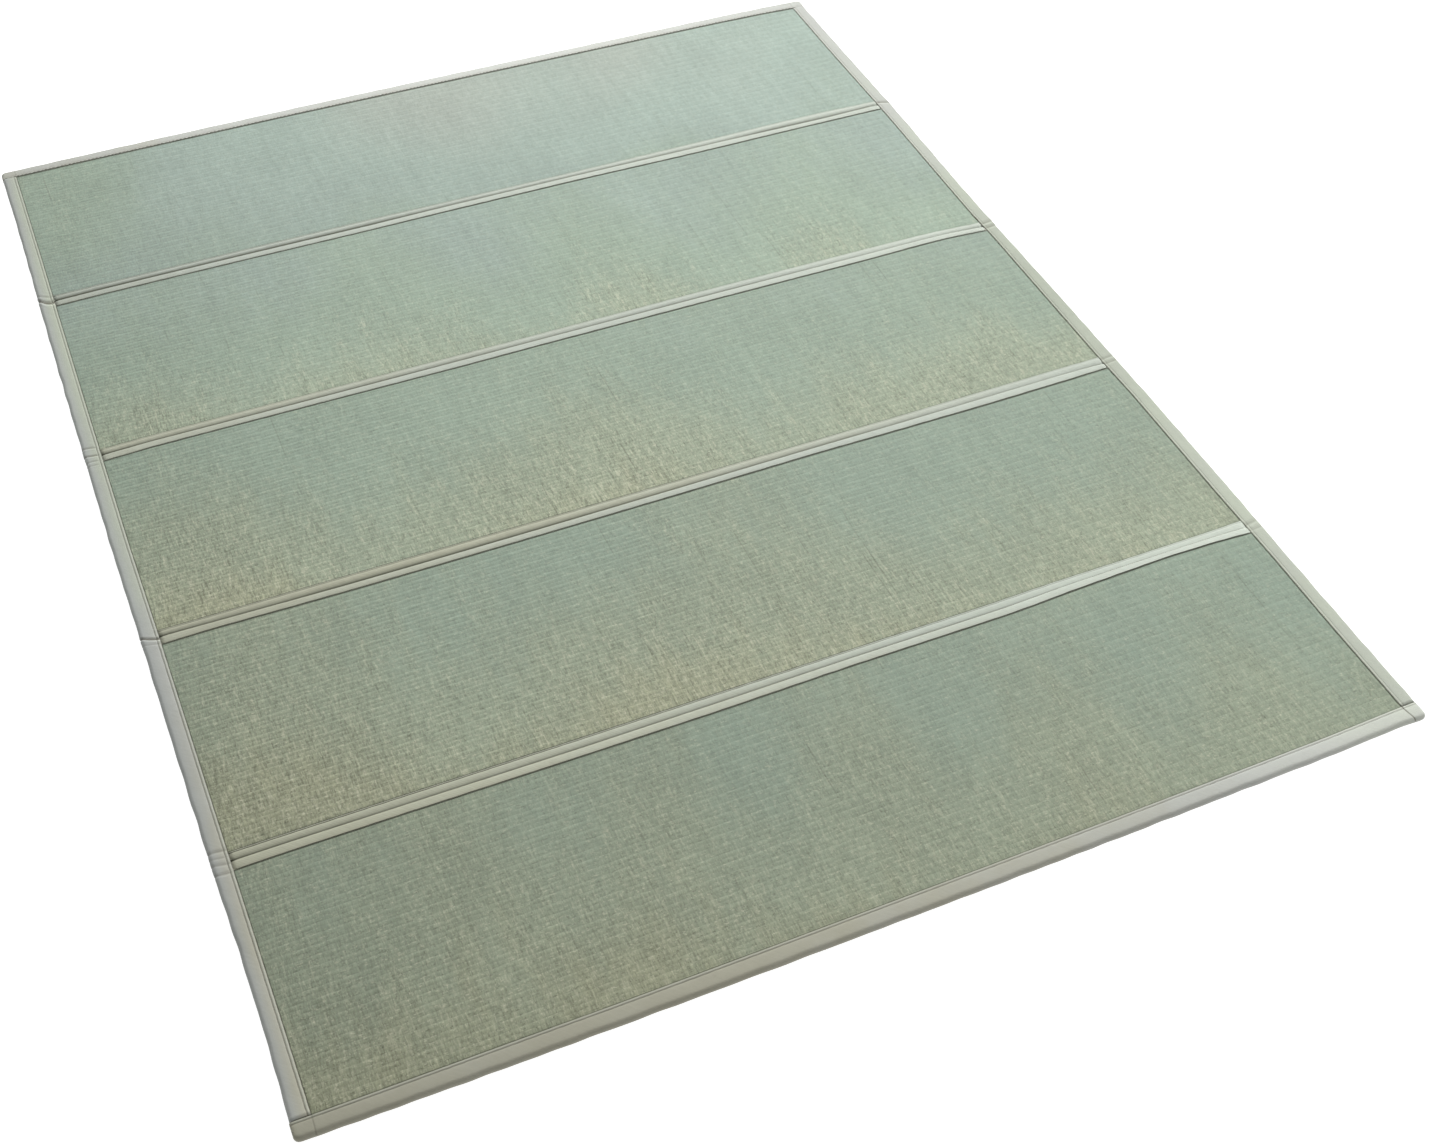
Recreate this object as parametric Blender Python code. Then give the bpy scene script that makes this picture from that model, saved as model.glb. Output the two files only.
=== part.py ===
"""Folding rush mat, lying open: five rush-faced panels, four fold tapes and cloth bindings on all edges.

+X runs along the folds, +Y across them towards the far end, +Z up.
The origin is the centre of the underside. Lengths are metres; the tables are in millimetres.
"""

import math
from collections import namedtuple

import bmesh
import bpy
import numpy as np
from mathutils import Vector

# Driving sizes
MM = 0.001
THICKNESS = 0.012
PANEL_COUNT = 5
PANEL_PITCH = 0.420
FOLD_ROW_SHIFT = -0.002
RIB_PITCH = 0.00759
RIB_HEIGHTS = (0.00060, 0.00045)
RIB_SHOULDERS = (0.28, 0.72)

# Heights and clearances of the pieces
FACE_HEIGHT = 0.0107
RECESS_DEPTH = 0.0018
PANEL_RIM_RADIUS = THICKNESS / 2 - RECESS_DEPTH
PANEL_RIM_ANGLES = (90, 40, 0, -40, -90)
RIM_CLEARANCE = 0.0005
SEAM_GAP = 0.0005
PIECE_GAP = 0.0004
BINDING_THICKNESS = 0.0015
LIP_BEVEL = 0.0004
TAPE_THICKNESS = 0.0015
FLANGE_WIDTH = 0.003
FLANGE_TOP = 0.0113
CORNER_EASE_X = 0.003
CORNER_EASE_Y = 0.0015
CORNER_TAPER = 0.060
FOLD_MARGIN = 0.014
CORNER_PASSES = 3
RIB_MARGIN = 0.001
STATION_SPACING = 0.0012
LARGE_SKEW = 5
PANEL_SMOOTH_ANGLE = 50
TAPE_SMOOTH_ANGLE = 60
BINDING_SMOOTH_ANGLE = 50

# Outer edge and inner seam of each binding, measured along the mat's other direction (millimetres)
EdgeRow = namedtuple("EdgeRow", "along outer seam")
LEFT_EDGE = (
    EdgeRow(-1052, 800.5, 774.0),
    EdgeRow(-900, 797.0, 774.0),
    EdgeRow(-750, 797.5, 774.5),
    EdgeRow(-632, 800.0, 775.0),
    EdgeRow(-400, 801.0, 775.5),
    EdgeRow(-212, 801.5, 776.0),
    EdgeRow(0, 803.0, 777.5),
    EdgeRow(350, 802.0, 776.5),
    EdgeRow(628, 800.0, 775.0),
    EdgeRow(750, 798.0, 774.0),
    EdgeRow(900, 796.5, 773.5),
    EdgeRow(1052, 797.0, 773.0),
)
RIGHT_EDGE = (
    EdgeRow(-1052, 798.5, 773.5),
    EdgeRow(-850, 799.0, 773.5),
    EdgeRow(-700, 800.0, 775.5),
    EdgeRow(-550, 802.0, 775.0),
    EdgeRow(-300, 803.0, 777.0),
    EdgeRow(-200, 802.0, 775.0),
    EdgeRow(0, 800.5, 774.5),
    EdgeRow(180, 798.0, 774.5),
    EdgeRow(235, 797.5, 771.5),
    EdgeRow(350, 797.0, 772.0),
    EdgeRow(600, 800.0, 774.0),
    EdgeRow(850, 798.0, 771.5),
    EdgeRow(1052, 797.0, 772.0),
)
NEAR_EDGE = (
    EdgeRow(-800, 1045.0, 1020.0),
    EdgeRow(-700, 1047.0, 1021.5),
    EdgeRow(-550, 1049.5, 1023.0),
    EdgeRow(-400, 1051.0, 1024.5),
    EdgeRow(-200, 1052.0, 1025.0),
    EdgeRow(100, 1052.0, 1025.0),
    EdgeRow(300, 1051.0, 1024.5),
    EdgeRow(500, 1049.0, 1023.0),
    EdgeRow(650, 1047.5, 1021.5),
    EdgeRow(755, 1044.0, 1018.5),
    EdgeRow(800, 1046.0, 1018.0),
)
FAR_EDGE = (
    EdgeRow(-800, 1042.0, 1019.0),
    EdgeRow(-700, 1044.0, 1021.5),
    EdgeRow(-550, 1047.0, 1023.5),
    EdgeRow(-400, 1049.0, 1026.0),
    EdgeRow(-250, 1051.0, 1028.0),
    EdgeRow(0, 1052.0, 1028.5),
    EdgeRow(600, 1052.0, 1028.5),
    EdgeRow(700, 1051.0, 1026.5),
    EdgeRow(800, 1048.0, 1022.0),
)

# Rows of the end edges and folds beyond this place lie past the seams of the side bindings
LAST_END_ROW = 766

# Fold tapes from the far fold to the near one: offsets of the near edge, the groove and the far edge
# from the fold's straight line, and how deep the groove lies below the two rolls (millimetres)
FoldRow = namedtuple("FoldRow", "along near groove far depth")
FOLD_ROWS = (
    (
        FoldRow(-765, -15.0, 0.0, 11.0, 2.6),
        FoldRow(-700, -13.0, 2.0, 12.5, 2.6),
        FoldRow(-600, -12.0, 3.0, 13.5, 2.4),
        FoldRow(-450, -11.0, 4.0, 15.0, 2.4),
        FoldRow(-230, -10.7, 4.3, 17.0, 2.6),
        FoldRow(-100, -9.0, 6.0, 16.0, 1.8),
        FoldRow(150, -7.5, 7.0, 16.0, 1.6),
        FoldRow(350, -10.0, 6.0, 17.0, 1.6),
        FoldRow(450, -10.0, 6.0, 18.0, 1.5),
        FoldRow(560, -9.0, 5.5, 20.0, 2.4),
        FoldRow(660, -8.8, 4.0, 20.0, 2.2),
        FoldRow(765, -9.0, 6.0, 16.0, 1.8),
    ),
    (
        FoldRow(-765, -12.0, 3.5, 13.0, 2.6),
        FoldRow(-700, -9.0, 5.5, 15.0, 2.0),
        FoldRow(-550, -9.0, 5.0, 16.0, 2.2),
        FoldRow(-350, -9.5, 5.0, 16.0, 2.2),
        FoldRow(-200, -10.0, 5.5, 16.0, 2.0),
        FoldRow(-50, -8.5, 6.0, 16.5, 1.7),
        FoldRow(250, -8.0, 7.0, 18.0, 1.8),
        FoldRow(550, -9.0, 6.0, 17.0, 1.5),
        FoldRow(650, -7.0, 6.0, 16.0, 1.5),
        FoldRow(700, -8.0, 5.0, 14.0, 1.6),
        FoldRow(740, -11.0, 2.0, 11.0, 2.0),
        FoldRow(765, -13.0, 0.0, 8.5, 2.6),
    ),
    (
        FoldRow(-765, -8.0, 8.0, 17.0, 2.2),
        FoldRow(-700, -7.0, 6.5, 16.5, 2.0),
        FoldRow(-600, -9.0, 4.5, 17.0, 2.2),
        FoldRow(-500, -10.5, 3.0, 17.0, 2.6),
        FoldRow(-350, -11.0, 2.5, 16.5, 2.6),
        FoldRow(-200, -11.0, 2.5, 16.0, 2.5),
        FoldRow(0, -10.5, 3.0, 15.5, 2.0),
        FoldRow(250, -9.0, 4.5, 16.0, 1.8),
        FoldRow(400, -10.5, 4.0, 16.0, 1.6),
        FoldRow(550, -11.0, 5.0, 17.0, 1.4),
        FoldRow(700, -9.5, 6.0, 18.0, 1.3),
        FoldRow(765, -8.0, 5.0, 18.0, 1.8),
    ),
    (
        FoldRow(-765, -12.0, 4.0, 15.0, 2.4),
        FoldRow(-700, -11.5, 4.0, 15.0, 2.2),
        FoldRow(-550, -12.2, 2.5, 14.5, 2.0),
        FoldRow(-300, -14.0, 0.5, 13.0, 2.0),
        FoldRow(-100, -14.3, 0.5, 13.0, 1.8),
        FoldRow(100, -12.0, 2.0, 13.0, 1.6),
        FoldRow(350, -13.0, 1.0, 13.0, 1.4),
        FoldRow(400, -11.5, 2.5, 14.0, 1.2),
        FoldRow(460, -8.5, 4.5, 14.5, 0.8),
        FoldRow(550, -6.0, 5.0, 14.0, 0.6),
        FoldRow(630, -4.0, 5.0, 14.0, 0.5),
        FoldRow(720, -6.0, 4.5, 14.0, 0.6),
        FoldRow(765, -9.5, 3.0, 15.0, 1.0),
    ),
)

# Creases across the side bindings: place along the mat, how much further along the crease is at the
# outer edge than at the seam, half width, depth, and lift of the cloth beside it (millimetres)
CreaseRow = namedtuple("CreaseRow", "along skew half_width depth lift")
LEFT_CREASES = (
    CreaseRow(-646, 2, 5, 0.35, 0.0),
    CreaseRow(-632, 4, 5, 0.30, 0.0),
    CreaseRow(-612, 2, 5, 0.35, 0.0),
    CreaseRow(-208, 11, 4, 0.80, 0.25),
    CreaseRow(190, 0, 4, 0.35, 0.0),
    CreaseRow(200, 1, 4, 0.45, 0.0),
    CreaseRow(213, 1, 5, 0.65, 0.15),
    CreaseRow(232, 0, 6, 0.50, 0.15),
    CreaseRow(626, 16, 6, 0.90, 0.30),
)
RIGHT_CREASES = (
    CreaseRow(-630, 4, 6, 0.25, 0.0),
    CreaseRow(-210, 2, 4, 0.35, 0.0),
    CreaseRow(-198, 2, 4, 0.35, 0.0),
    CreaseRow(200, 2, 5, 0.40, 0.0),
    CreaseRow(214, 2, 5, 0.40, 0.0),
    CreaseRow(640, -10, 6, 0.60, 0.20),
)
SKEW_REACH = 6

# Upper side of a binding: which edge a point is measured from, how far, and its height (millimetres)
BindingRow = namedtuple("BindingRow", "measured_from distance height")
BINDING_TOP_ROWS = (
    BindingRow("seam", 0.0, 11.2),
    BindingRow("seam", 0.7, 11.7),
    BindingRow("seam", 2.4, 11.9),
    BindingRow("seam", 4.0, 11.3),
    BindingRow("seam", 5.8, 11.8),
    BindingRow("seam", 9.0, 12.0),
)
EDGE_ARC_STEPS = 6
INNER_ARC_STEPS = 4

# Upper side of a fold tape's roll: share of the way from the groove to the roll's edge, share of the
# groove's depth below the roll's top
RollRow = namedtuple("RollRow", "share drop")
ROLL_ROWS = (
    RollRow(0.00, 1.00),
    RollRow(0.07, 0.62),
    RollRow(0.22, 0.25),
    RollRow(0.45, 0.00),
    RollRow(0.72, 0.05),
    RollRow(0.93, 0.20),
)
ROLL_EDGE_HEIGHT = 0.0111

# Hidden side of a fold tape, from under a roll down the web to the under leaf: distance from the
# groove's line and height (millimetres)
WebRow = namedtuple("WebRow", "distance height")
WEB_ROWS = (
    WebRow(4.4, 10.4),
    WebRow(2.4, 9.9),
    WebRow(0.6, 8.0),
    WebRow(0.8, 4.0),
    WebRow(4.0, 1.6),
    WebRow(11.7, 1.5),
    WebRow(11.9, 0.0),
)
UPPER_WEB_ROWS = 3
WEB_HALF = WEB_ROWS[2].distance * MM
UNDER_TAPE_HALF = WEB_ROWS[-1].distance * MM
TAPE_END_DROP = 0.0008
TAPE_END_LENGTH = 0.008

# Places across a fold, from its line, where the side bindings' seams bound its tape (millimetres)
TAPE_REACH_OFFSETS = (-16, -8, 0, 8, 16, 24)

# Ends of the end bindings: distance from the mat's corner, how far the edge rounds back, share of the
# thickness left (the corners are sewn shut and pinched)
CornerRow = namedtuple("CornerRow", "distance round_back thickness_share")
CORNER_ROWS = (
    CornerRow(0.0, 6.5, 0.45),
    CornerRow(1.2, 3.6, 0.78),
    CornerRow(3.0, 1.8, 0.93),
    CornerRow(6.0, 0.5, 1.00),
    CornerRow(11.0, 0.0, 1.00),
)
POCKET_START = 3.0

# Finish of the pieces (colour is linear)
RUSH_COLOUR = (0.305, 0.366, 0.283)
BINDING_COLOUR = (0.485, 0.515, 0.456)
TAPE_COLOUR = (0.540, 0.545, 0.440)
RUSH_ROUGHNESS = 0.62
CLOTH_ROUGHNESS = 0.85


def column(rows, name, along):
    """Value in metres of a table's column at a place along the table, straight between its rows."""
    places = [row.along * MM for row in rows]
    values = [getattr(row, name) * MM for row in rows]
    return float(np.interp(along, places, values))


def fold_line(fold):
    """Place of a fold's straight line along Y; fold 0 is the far one."""
    return ((PANEL_COUNT - 2) / 2 - fold) * PANEL_PITCH + FOLD_ROW_SHIFT


def clear_scene():
    for obj in list(bpy.data.objects):
        bpy.data.objects.remove(obj, do_unlink=True)


def material(name, colour, roughness):
    finish = bpy.data.materials.new(name)
    finish.use_nodes = True
    shader = finish.node_tree.nodes["Principled BSDF"]
    shader.inputs["Base Color"].default_value = (*colour, 1.0)
    shader.inputs["Roughness"].default_value = roughness
    shader.inputs["Metallic"].default_value = 0.0
    return finish


def rush_material():
    return material("rush", RUSH_COLOUR, RUSH_ROUGHNESS)


def binding_material():
    return material("binding_cloth", BINDING_COLOUR, CLOTH_ROUGHNESS)


def tape_material():
    return material("fold_tape_cloth", TAPE_COLOUR, CLOTH_ROUGHNESS)


def add_object(name, mesh_builder, finish, smooth_angle):
    """Close a bmesh into a named object with its faces pointing out."""
    bmesh.ops.triangulate(mesh_builder, faces=mesh_builder.faces[:])
    bmesh.ops.recalc_face_normals(mesh_builder, faces=mesh_builder.faces[:])
    if mesh_builder.calc_volume(signed=True) < 0:
        bmesh.ops.reverse_faces(mesh_builder, faces=mesh_builder.faces[:])
    mesh = bpy.data.meshes.new(name)
    mesh_builder.to_mesh(mesh)
    mesh_builder.free()
    mesh.materials.append(finish)
    mesh.shade_smooth()
    mesh.set_sharp_from_angle(angle=math.radians(smooth_angle))
    obj = bpy.data.objects.new(name, mesh)
    bpy.context.scene.collection.objects.link(obj)
    return obj


def bridge(builder, first, second, closed):
    """Quads between two chains with the same number of vertices."""
    count = len(first)
    for i in range(count if closed else count - 1):
        j = (i + 1) % count
        builder.faces.new((first[i], first[j], second[j], second[i]))


def zip_chains(builder, first, second, axis):
    """Triangles between two chains that run the same way along an axis but differ in number."""
    i, j = 0, 0
    direction = 1 if first[-1].co[axis] > first[0].co[axis] else -1
    while i < len(first) - 1 or j < len(second) - 1:
        step_first = j == len(second) - 1
        if not step_first and i < len(first) - 1:
            lead = first[i + 1].co[axis] - second[j + 1].co[axis]
            step_first = lead * direction < 0
        if step_first:
            builder.faces.new((first[i], first[i + 1], second[j]))
            i += 1
        else:
            builder.faces.new((first[i], second[j + 1], second[j]))
            j += 1


class PanelOutline:
    """Where a panel's rim, face and underside end on each of its four sides."""

    def __init__(self, panel):
        self.far_fold = panel - 1 if panel > 0 else None
        self.near_fold = panel if panel < PANEL_COUNT - 1 else None
        self.near_corner = self.end_line("near", 0.0)
        self.far_corner = self.end_line("far", 0.0)

    def end_line(self, end, along, part="groove"):
        """Y of the panel's near or far end: its binding's outer edge or seam, or its fold's groove or edge."""
        fold = self.near_fold if end == "near" else self.far_fold
        if fold is None:
            rows = NEAR_EDGE if end == "near" else FAR_EDGE
            sign = -1 if end == "near" else 1
            return sign * column(rows, "seam" if part == "face" else "outer", along)
        name = "groove"
        if part == "face":
            name = "far" if end == "near" else "near"
        return fold_line(fold) + column(FOLD_ROWS[fold], name, along)

    def end_y(self, end, along, kind, inset, at_corner):
        """Y of one of the panel's loops at its near or far end."""
        fold = self.near_fold if end == "near" else self.far_fold
        inward = 1 if end == "near" else -1
        if kind == "face":
            flange = FLANGE_WIDTH if fold is not None and end == "near" else 0.0
            return self.end_line(end, along, "face") + inward * (SEAM_GAP + flange)
        if kind == "under":
            if fold is None:
                return self.end_line(end, along, "face") + inward * SEAM_GAP
            return self.end_line(end, along) + inward * (UNDER_TAPE_HALF + SEAM_GAP)
        clearance = WEB_HALF + PIECE_GAP
        if fold is None:
            clearance = BINDING_THICKNESS + RIM_CLEARANCE
            if at_corner:
                clearance += CORNER_EASE_Y
        return self.end_line(end, along) + inward * (clearance + inset)

    def side_x(self, side, along, kind, inset, at_corner):
        """X of one of the panel's loops on its left or right side."""
        sign, rows = (-1, LEFT_EDGE) if side == "left" else (1, RIGHT_EDGE)
        if kind in ("face", "under"):
            return sign * (column(rows, "seam", along) - SEAM_GAP)
        clearance = BINDING_THICKNESS + RIM_CLEARANCE + inset
        if at_corner:
            clearance += CORNER_EASE_X
        return sign * (column(rows, "outer", along) - clearance)

    def end_stations(self, end):
        fold = self.near_fold if end == "near" else self.far_fold
        rows = FOLD_ROWS[fold] if fold is not None else (NEAR_EDGE if end == "near" else FAR_EDGE)
        return [row.along * MM for row in rows if abs(row.along) < LAST_END_ROW]

    def side_stations(self, side):
        rows = LEFT_EDGE if side == "left" else RIGHT_EDGE
        low = self.near_corner + (CORNER_TAPER if self.near_fold is None else FOLD_MARGIN)
        high = self.far_corner - (CORNER_TAPER if self.far_fold is None else FOLD_MARGIN)
        stations = [row.along * MM for row in rows if low < row.along * MM < high]
        if self.near_fold is None:
            stations.insert(0, low)
        if self.far_fold is None:
            stations.append(high)
        return stations

    def corner(self, side, end, kind, inset):
        """Corner of a loop; the mat's own corners are eased to fit the end bindings' sewn pockets."""
        fold = self.near_fold if end == "near" else self.far_fold
        at_corner = fold is None and kind == "rim"
        y = self.near_corner if end == "near" else self.far_corner
        for _ in range(CORNER_PASSES):
            x = self.side_x(side, y, kind, inset, at_corner)
            y = self.end_y(end, x, kind, inset, at_corner)
        return x, y

    def chains(self, builder, kind, inset, height, side_places=None):
        """One loop around the panel as four chains that share their corner vertices."""
        corners = {}
        for side in ("left", "right"):
            for end in ("near", "far"):
                x, y = self.corner(side, end, kind, inset)
                corners[side, end] = builder.verts.new((x, y, height))
        chains = {}
        for end in ("near", "far"):
            middle = []
            for x in self.end_stations(end):
                y = self.end_y(end, x, kind, inset, False)
                middle.append(builder.verts.new((x, y, height)))
            chains[end] = [corners["left", end], *middle, corners["right", end]]
        for side in ("left", "right"):
            middle = []
            for y in self.side_stations(side) if side_places is None else side_places:
                x = self.side_x(side, y, kind, inset, False)
                middle.append(builder.verts.new((x, y, height)))
            chains[side] = [corners[side, "near"], *middle, corners[side, "far"]]
        return chains


def bridge_loops(builder, first, second):
    for name in ("near", "right", "far", "left"):
        bridge(builder, first[name], second[name], closed=False)


def rib_rows(low, high):
    """Y and height of every row of a rush face: a valley, then the two shoulders of a rib."""
    count = int((high - low) / RIB_PITCH)
    start = (low + high - count * RIB_PITCH) / 2
    rows = []
    for rib in range(count):
        valley = start + rib * RIB_PITCH
        rise = RIB_HEIGHTS[rib % len(RIB_HEIGHTS)]
        rows.append((valley, FACE_HEIGHT))
        for share in RIB_SHOULDERS:
            rows.append((valley + share * RIB_PITCH, FACE_HEIGHT + rise))
    rows.append((start + count * RIB_PITCH, FACE_HEIGHT))
    return rows


def flat_row(builder, chain, y, height):
    """A straight row at one place along the mat, with a vertex level with each one of a chain."""
    return [builder.verts.new((vertex.co.x, y, height)) for vertex in chain]


def add_rush_face(builder, outline, face, rows):
    """Ribbed face inside the face loop; returns the loop's sides with every rib's end in them."""
    first = flat_row(builder, face["near"], *rows[0])
    last = flat_row(builder, face["far"], *rows[-1])
    left, right = [], []
    for y, height in rows[1:-1]:
        left.append(builder.verts.new((outline.side_x("left", y, "face", 0.0, False), y, height)))
        right.append(builder.verts.new((outline.side_x("right", y, "face", 0.0, False), y, height)))
    bridge(builder, face["near"], first, closed=False)
    zip_chains(builder, first, [left[0], right[0]], 0)
    bridge(builder, left, right, closed=False)
    zip_chains(builder, [left[-1], right[-1]], last, 0)
    bridge(builder, last, face["far"], closed=False)
    left = [first[0], *left, last[0]]
    right = [first[-1], *right, last[-1]]
    return {
        "near": face["near"],
        "far": face["far"],
        "left": [face["near"][0], *left, face["far"][0]],
        "right": [face["near"][-1], *right, face["far"][-1]],
    }


def add_panel(panel, finish):
    """Rush-faced pad: ribbed top, rounded rim, and a shallow recess where the cloth wraps round it."""
    builder = bmesh.new()
    outline = PanelOutline(panel)
    top = THICKNESS - RECESS_DEPTH
    middle = THICKNESS / 2
    face = outline.chains(builder, "face", 0.0, FACE_HEIGHT, side_places=())
    low = max(vertex.co.y for vertex in face["near"]) + RIB_MARGIN
    high = min(vertex.co.y for vertex in face["far"]) - RIB_MARGIN
    rows = rib_rows(low, high)
    sides = add_rush_face(builder, outline, face, rows)
    valleys = [y for y, _ in rows[3:-1:3]]
    wall = outline.chains(builder, "face", 0.0, top, side_places=valleys)
    loops = []
    for angle in PANEL_RIM_ANGLES:
        inset = PANEL_RIM_RADIUS * (1 - math.cos(math.radians(angle)))
        height = middle + PANEL_RIM_RADIUS * math.sin(math.radians(angle))
        loops.append(outline.chains(builder, "rim", inset, height))
    loops.append(outline.chains(builder, "under", 0.0, RECESS_DEPTH))
    loops.append(outline.chains(builder, "under", 0.0, 0.0))
    for name, axis in (("near", 0), ("far", 0), ("left", 1), ("right", 1)):
        zip_chains(builder, sides[name], wall[name], axis)
        zip_chains(builder, wall[name], loops[0][name], axis)
    for first, second in zip(loops, loops[1:]):
        bridge_loops(builder, first, second)
    under = loops[-1]
    ring = under["near"][:-1] + under["right"][:-1] + under["far"][:0:-1] + under["left"][:0:-1]
    builder.faces.new(ring)
    return add_object(f"panel_{panel + 1}", builder, finish, PANEL_SMOOTH_ANGLE)


def tape_section(x, rows, line, end_distance):
    """Section of a fold tape at one place: two rolls, a sewn groove, a web and an under leaf."""
    near = line + column(rows, "near", x)
    groove = line + column(rows, "groove", x)
    far = line + column(rows, "far", x)
    depth = column(rows, "depth", x)
    crown = THICKNESS - TAPE_END_DROP * max(0.0, 1 - end_distance / TAPE_END_LENGTH)
    under = THICKNESS - TAPE_THICKNESS
    points = [(near, ROLL_EDGE_HEIGHT)]
    for row in reversed(ROLL_ROWS):
        points.append((groove + row.share * (near - groove), crown - row.drop * depth))
    for row in ROLL_ROWS[1:]:
        points.append((groove + row.share * (far - groove), crown - row.drop * depth))
    points.append((far, ROLL_EDGE_HEIGHT))
    points.append((far + FLANGE_WIDTH, FLANGE_TOP))
    points.append((far + FLANGE_WIDTH, under))
    for row in WEB_ROWS:
        points.append((groove + row.distance * MM, row.height * MM))
    for row in reversed(WEB_ROWS):
        points.append((groove - row.distance * MM, row.height * MM))
    points.append((near, under))
    return [Vector((x, y, z)) for y, z in points]


def add_rings(builder, rings, close_end):
    """Skin between sections that all have the same number of points, each end closed by a function."""
    loops = [[builder.verts.new(point) for point in ring] for ring in rings]
    for first, second in zip(loops, loops[1:]):
        bridge(builder, first, second, closed=True)
    close_end(builder, loops[0])
    close_end(builder, loops[-1])


def shares_along(chain):
    """Each vertex's share of the way along its chain."""
    steps = [(b.co - a.co).length for a, b in zip(chain, chain[1:])]
    return [sum(steps[:i]) / sum(steps) for i in range(len(chain))]


def cap_strip(builder, outer, inner):
    """Triangles across a section between its outer and inner profiles, which run the same way."""
    outer_shares, inner_shares = shares_along(outer), shares_along(inner)
    i, j = 0, 0
    while i < len(outer) - 1 or j < len(inner) - 1:
        step_outer = j == len(inner) - 1
        if not step_outer and i < len(outer) - 1:
            step_outer = outer_shares[i + 1] < inner_shares[j + 1]
        if step_outer:
            builder.faces.new((outer[i], outer[i + 1], inner[j]))
            i += 1
        else:
            builder.faces.new((outer[i], inner[j + 1], inner[j]))
            j += 1


def close_tape_end(builder, loop):
    """Fill the section of a fold tape: its upper leaf, its web and its under leaf."""
    top_count = 2 * len(ROLL_ROWS) + 2
    top, hidden = loop[:top_count], loop[top_count:]
    far_side = hidden[1:len(WEB_ROWS) + 1]
    near_side = hidden[-2:-len(WEB_ROWS) - 2:-1]
    upper = [hidden[-1], *near_side[:UPPER_WEB_ROWS], *reversed(far_side[:UPPER_WEB_ROWS]), hidden[0]]
    cap_strip(builder, top, upper)
    last_upper, first_lower = UPPER_WEB_ROWS - 1, UPPER_WEB_ROWS
    web = (near_side[last_upper], far_side[last_upper], far_side[first_lower], near_side[first_lower])
    builder.faces.new(web)
    lower = [*reversed(near_side[first_lower:-1]), *far_side[first_lower:-1]]
    cap_strip(builder, lower, [near_side[-1], far_side[-1]])


def close_binding_end(builder, loop):
    """Fill the section of a binding between its outer and its inner profile."""
    outer_count = len(binding_profile()[0])
    cap_strip(builder, loop[:outer_count], loop[:outer_count - 1:-1])


def tape_reach(rows, line):
    """How far a fold tape reaches to one side before the side binding's seam."""
    across = [line + offset * MM for offset in TAPE_REACH_OFFSETS]
    return min(column(rows, "seam", place) for place in across) - SEAM_GAP


def add_fold_tape(fold, finish):
    """Cloth tape that joins two panels, from one side binding to the other."""
    rows = FOLD_ROWS[fold]
    line = fold_line(fold)
    left = -tape_reach(LEFT_EDGE, line)
    right = tape_reach(RIGHT_EDGE, line)
    low = left + TAPE_END_LENGTH
    high = right - TAPE_END_LENGTH
    inner = [row.along * MM for row in rows if low < row.along * MM < high]
    stations = [left, low, *inner, high, right]
    rings = []
    for x in stations:
        end_distance = min(x - left, right - x)
        rings.append(tape_section(x, rows, line, end_distance))
    builder = bmesh.new()
    add_rings(builder, rings, close_tape_end)
    return add_object(f"fold_tape_{fold + 1}", builder, finish, TAPE_SMOOTH_ANGLE)


def binding_profile():
    """Outer and inner profile of a binding's section as rows of (measured_from, distance, height)."""
    outer, inner = [], []
    for row in BINDING_TOP_ROWS:
        outer.append((row.measured_from, row.distance * MM, row.height * MM))
    radius = THICKNESS / 2
    for step in range(EDGE_ARC_STEPS + 1):
        angle = math.pi / 2 - math.pi * step / EDGE_ARC_STEPS
        distance = radius * (1 - math.cos(angle))
        outer.append(("edge", distance, radius + radius * math.sin(angle)))
    outer.append(("seam", 0.0, 0.0))
    inner.append(("seam", LIP_BEVEL, BINDING_THICKNESS))
    radius -= BINDING_THICKNESS
    for step in range(INNER_ARC_STEPS + 1):
        angle = -math.pi / 2 + math.pi * step / INNER_ARC_STEPS
        distance = BINDING_THICKNESS + radius * (1 - math.cos(angle))
        inner.append(("edge", distance, THICKNESS / 2 + radius * math.sin(angle)))
    inner.append(("seam", LIP_BEVEL, THICKNESS - BINDING_THICKNESS))
    return outer, inner


def crease_offset(creases, along):
    """How far the cloth's outer face sinks at a place; beside a crease it lifts instead."""
    sink = 0.0
    for crease in creases:
        reach = abs(along - crease.along * MM) / (crease.half_width * MM)
        if reach < 1.0:
            sink += crease.depth * MM * (1 - reach) - crease.lift * MM * reach
        elif reach < 2.0:
            sink -= crease.lift * MM * (2 - reach)
    return sink


def crease_skew(creases, along):
    """How far a section leans along the mat between its seam and its outer edge."""
    skew = 0.0
    for crease in creases:
        reach = abs(along - crease.along * MM) / (SKEW_REACH * crease.half_width * MM)
        if reach < 1.0:
            lean = crease.skew * MM * (1 - reach)
            if abs(lean) > abs(skew):
                skew = lean
    return skew


def side_stations(rows, creases, low, high):
    """Places of a side binding's sections: its table's rows, and three to seven around each crease."""
    stations = {low, high}
    for row in rows:
        stations.add(row.along * MM)
    for crease in creases:
        reaches = (-1, 0, 1) if crease.lift == 0 else (-2, -1, 0, 1, 2)
        if abs(crease.skew) > LARGE_SKEW:
            reaches += (-SKEW_REACH, SKEW_REACH)
        for reach in reaches:
            stations.add((crease.along + reach * crease.half_width) * MM)
    kept = []
    for place in sorted(stations):
        if low <= place <= high and (not kept or place - kept[-1] > STATION_SPACING):
            kept.append(place)
    kept[-1] = high
    return kept


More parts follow.
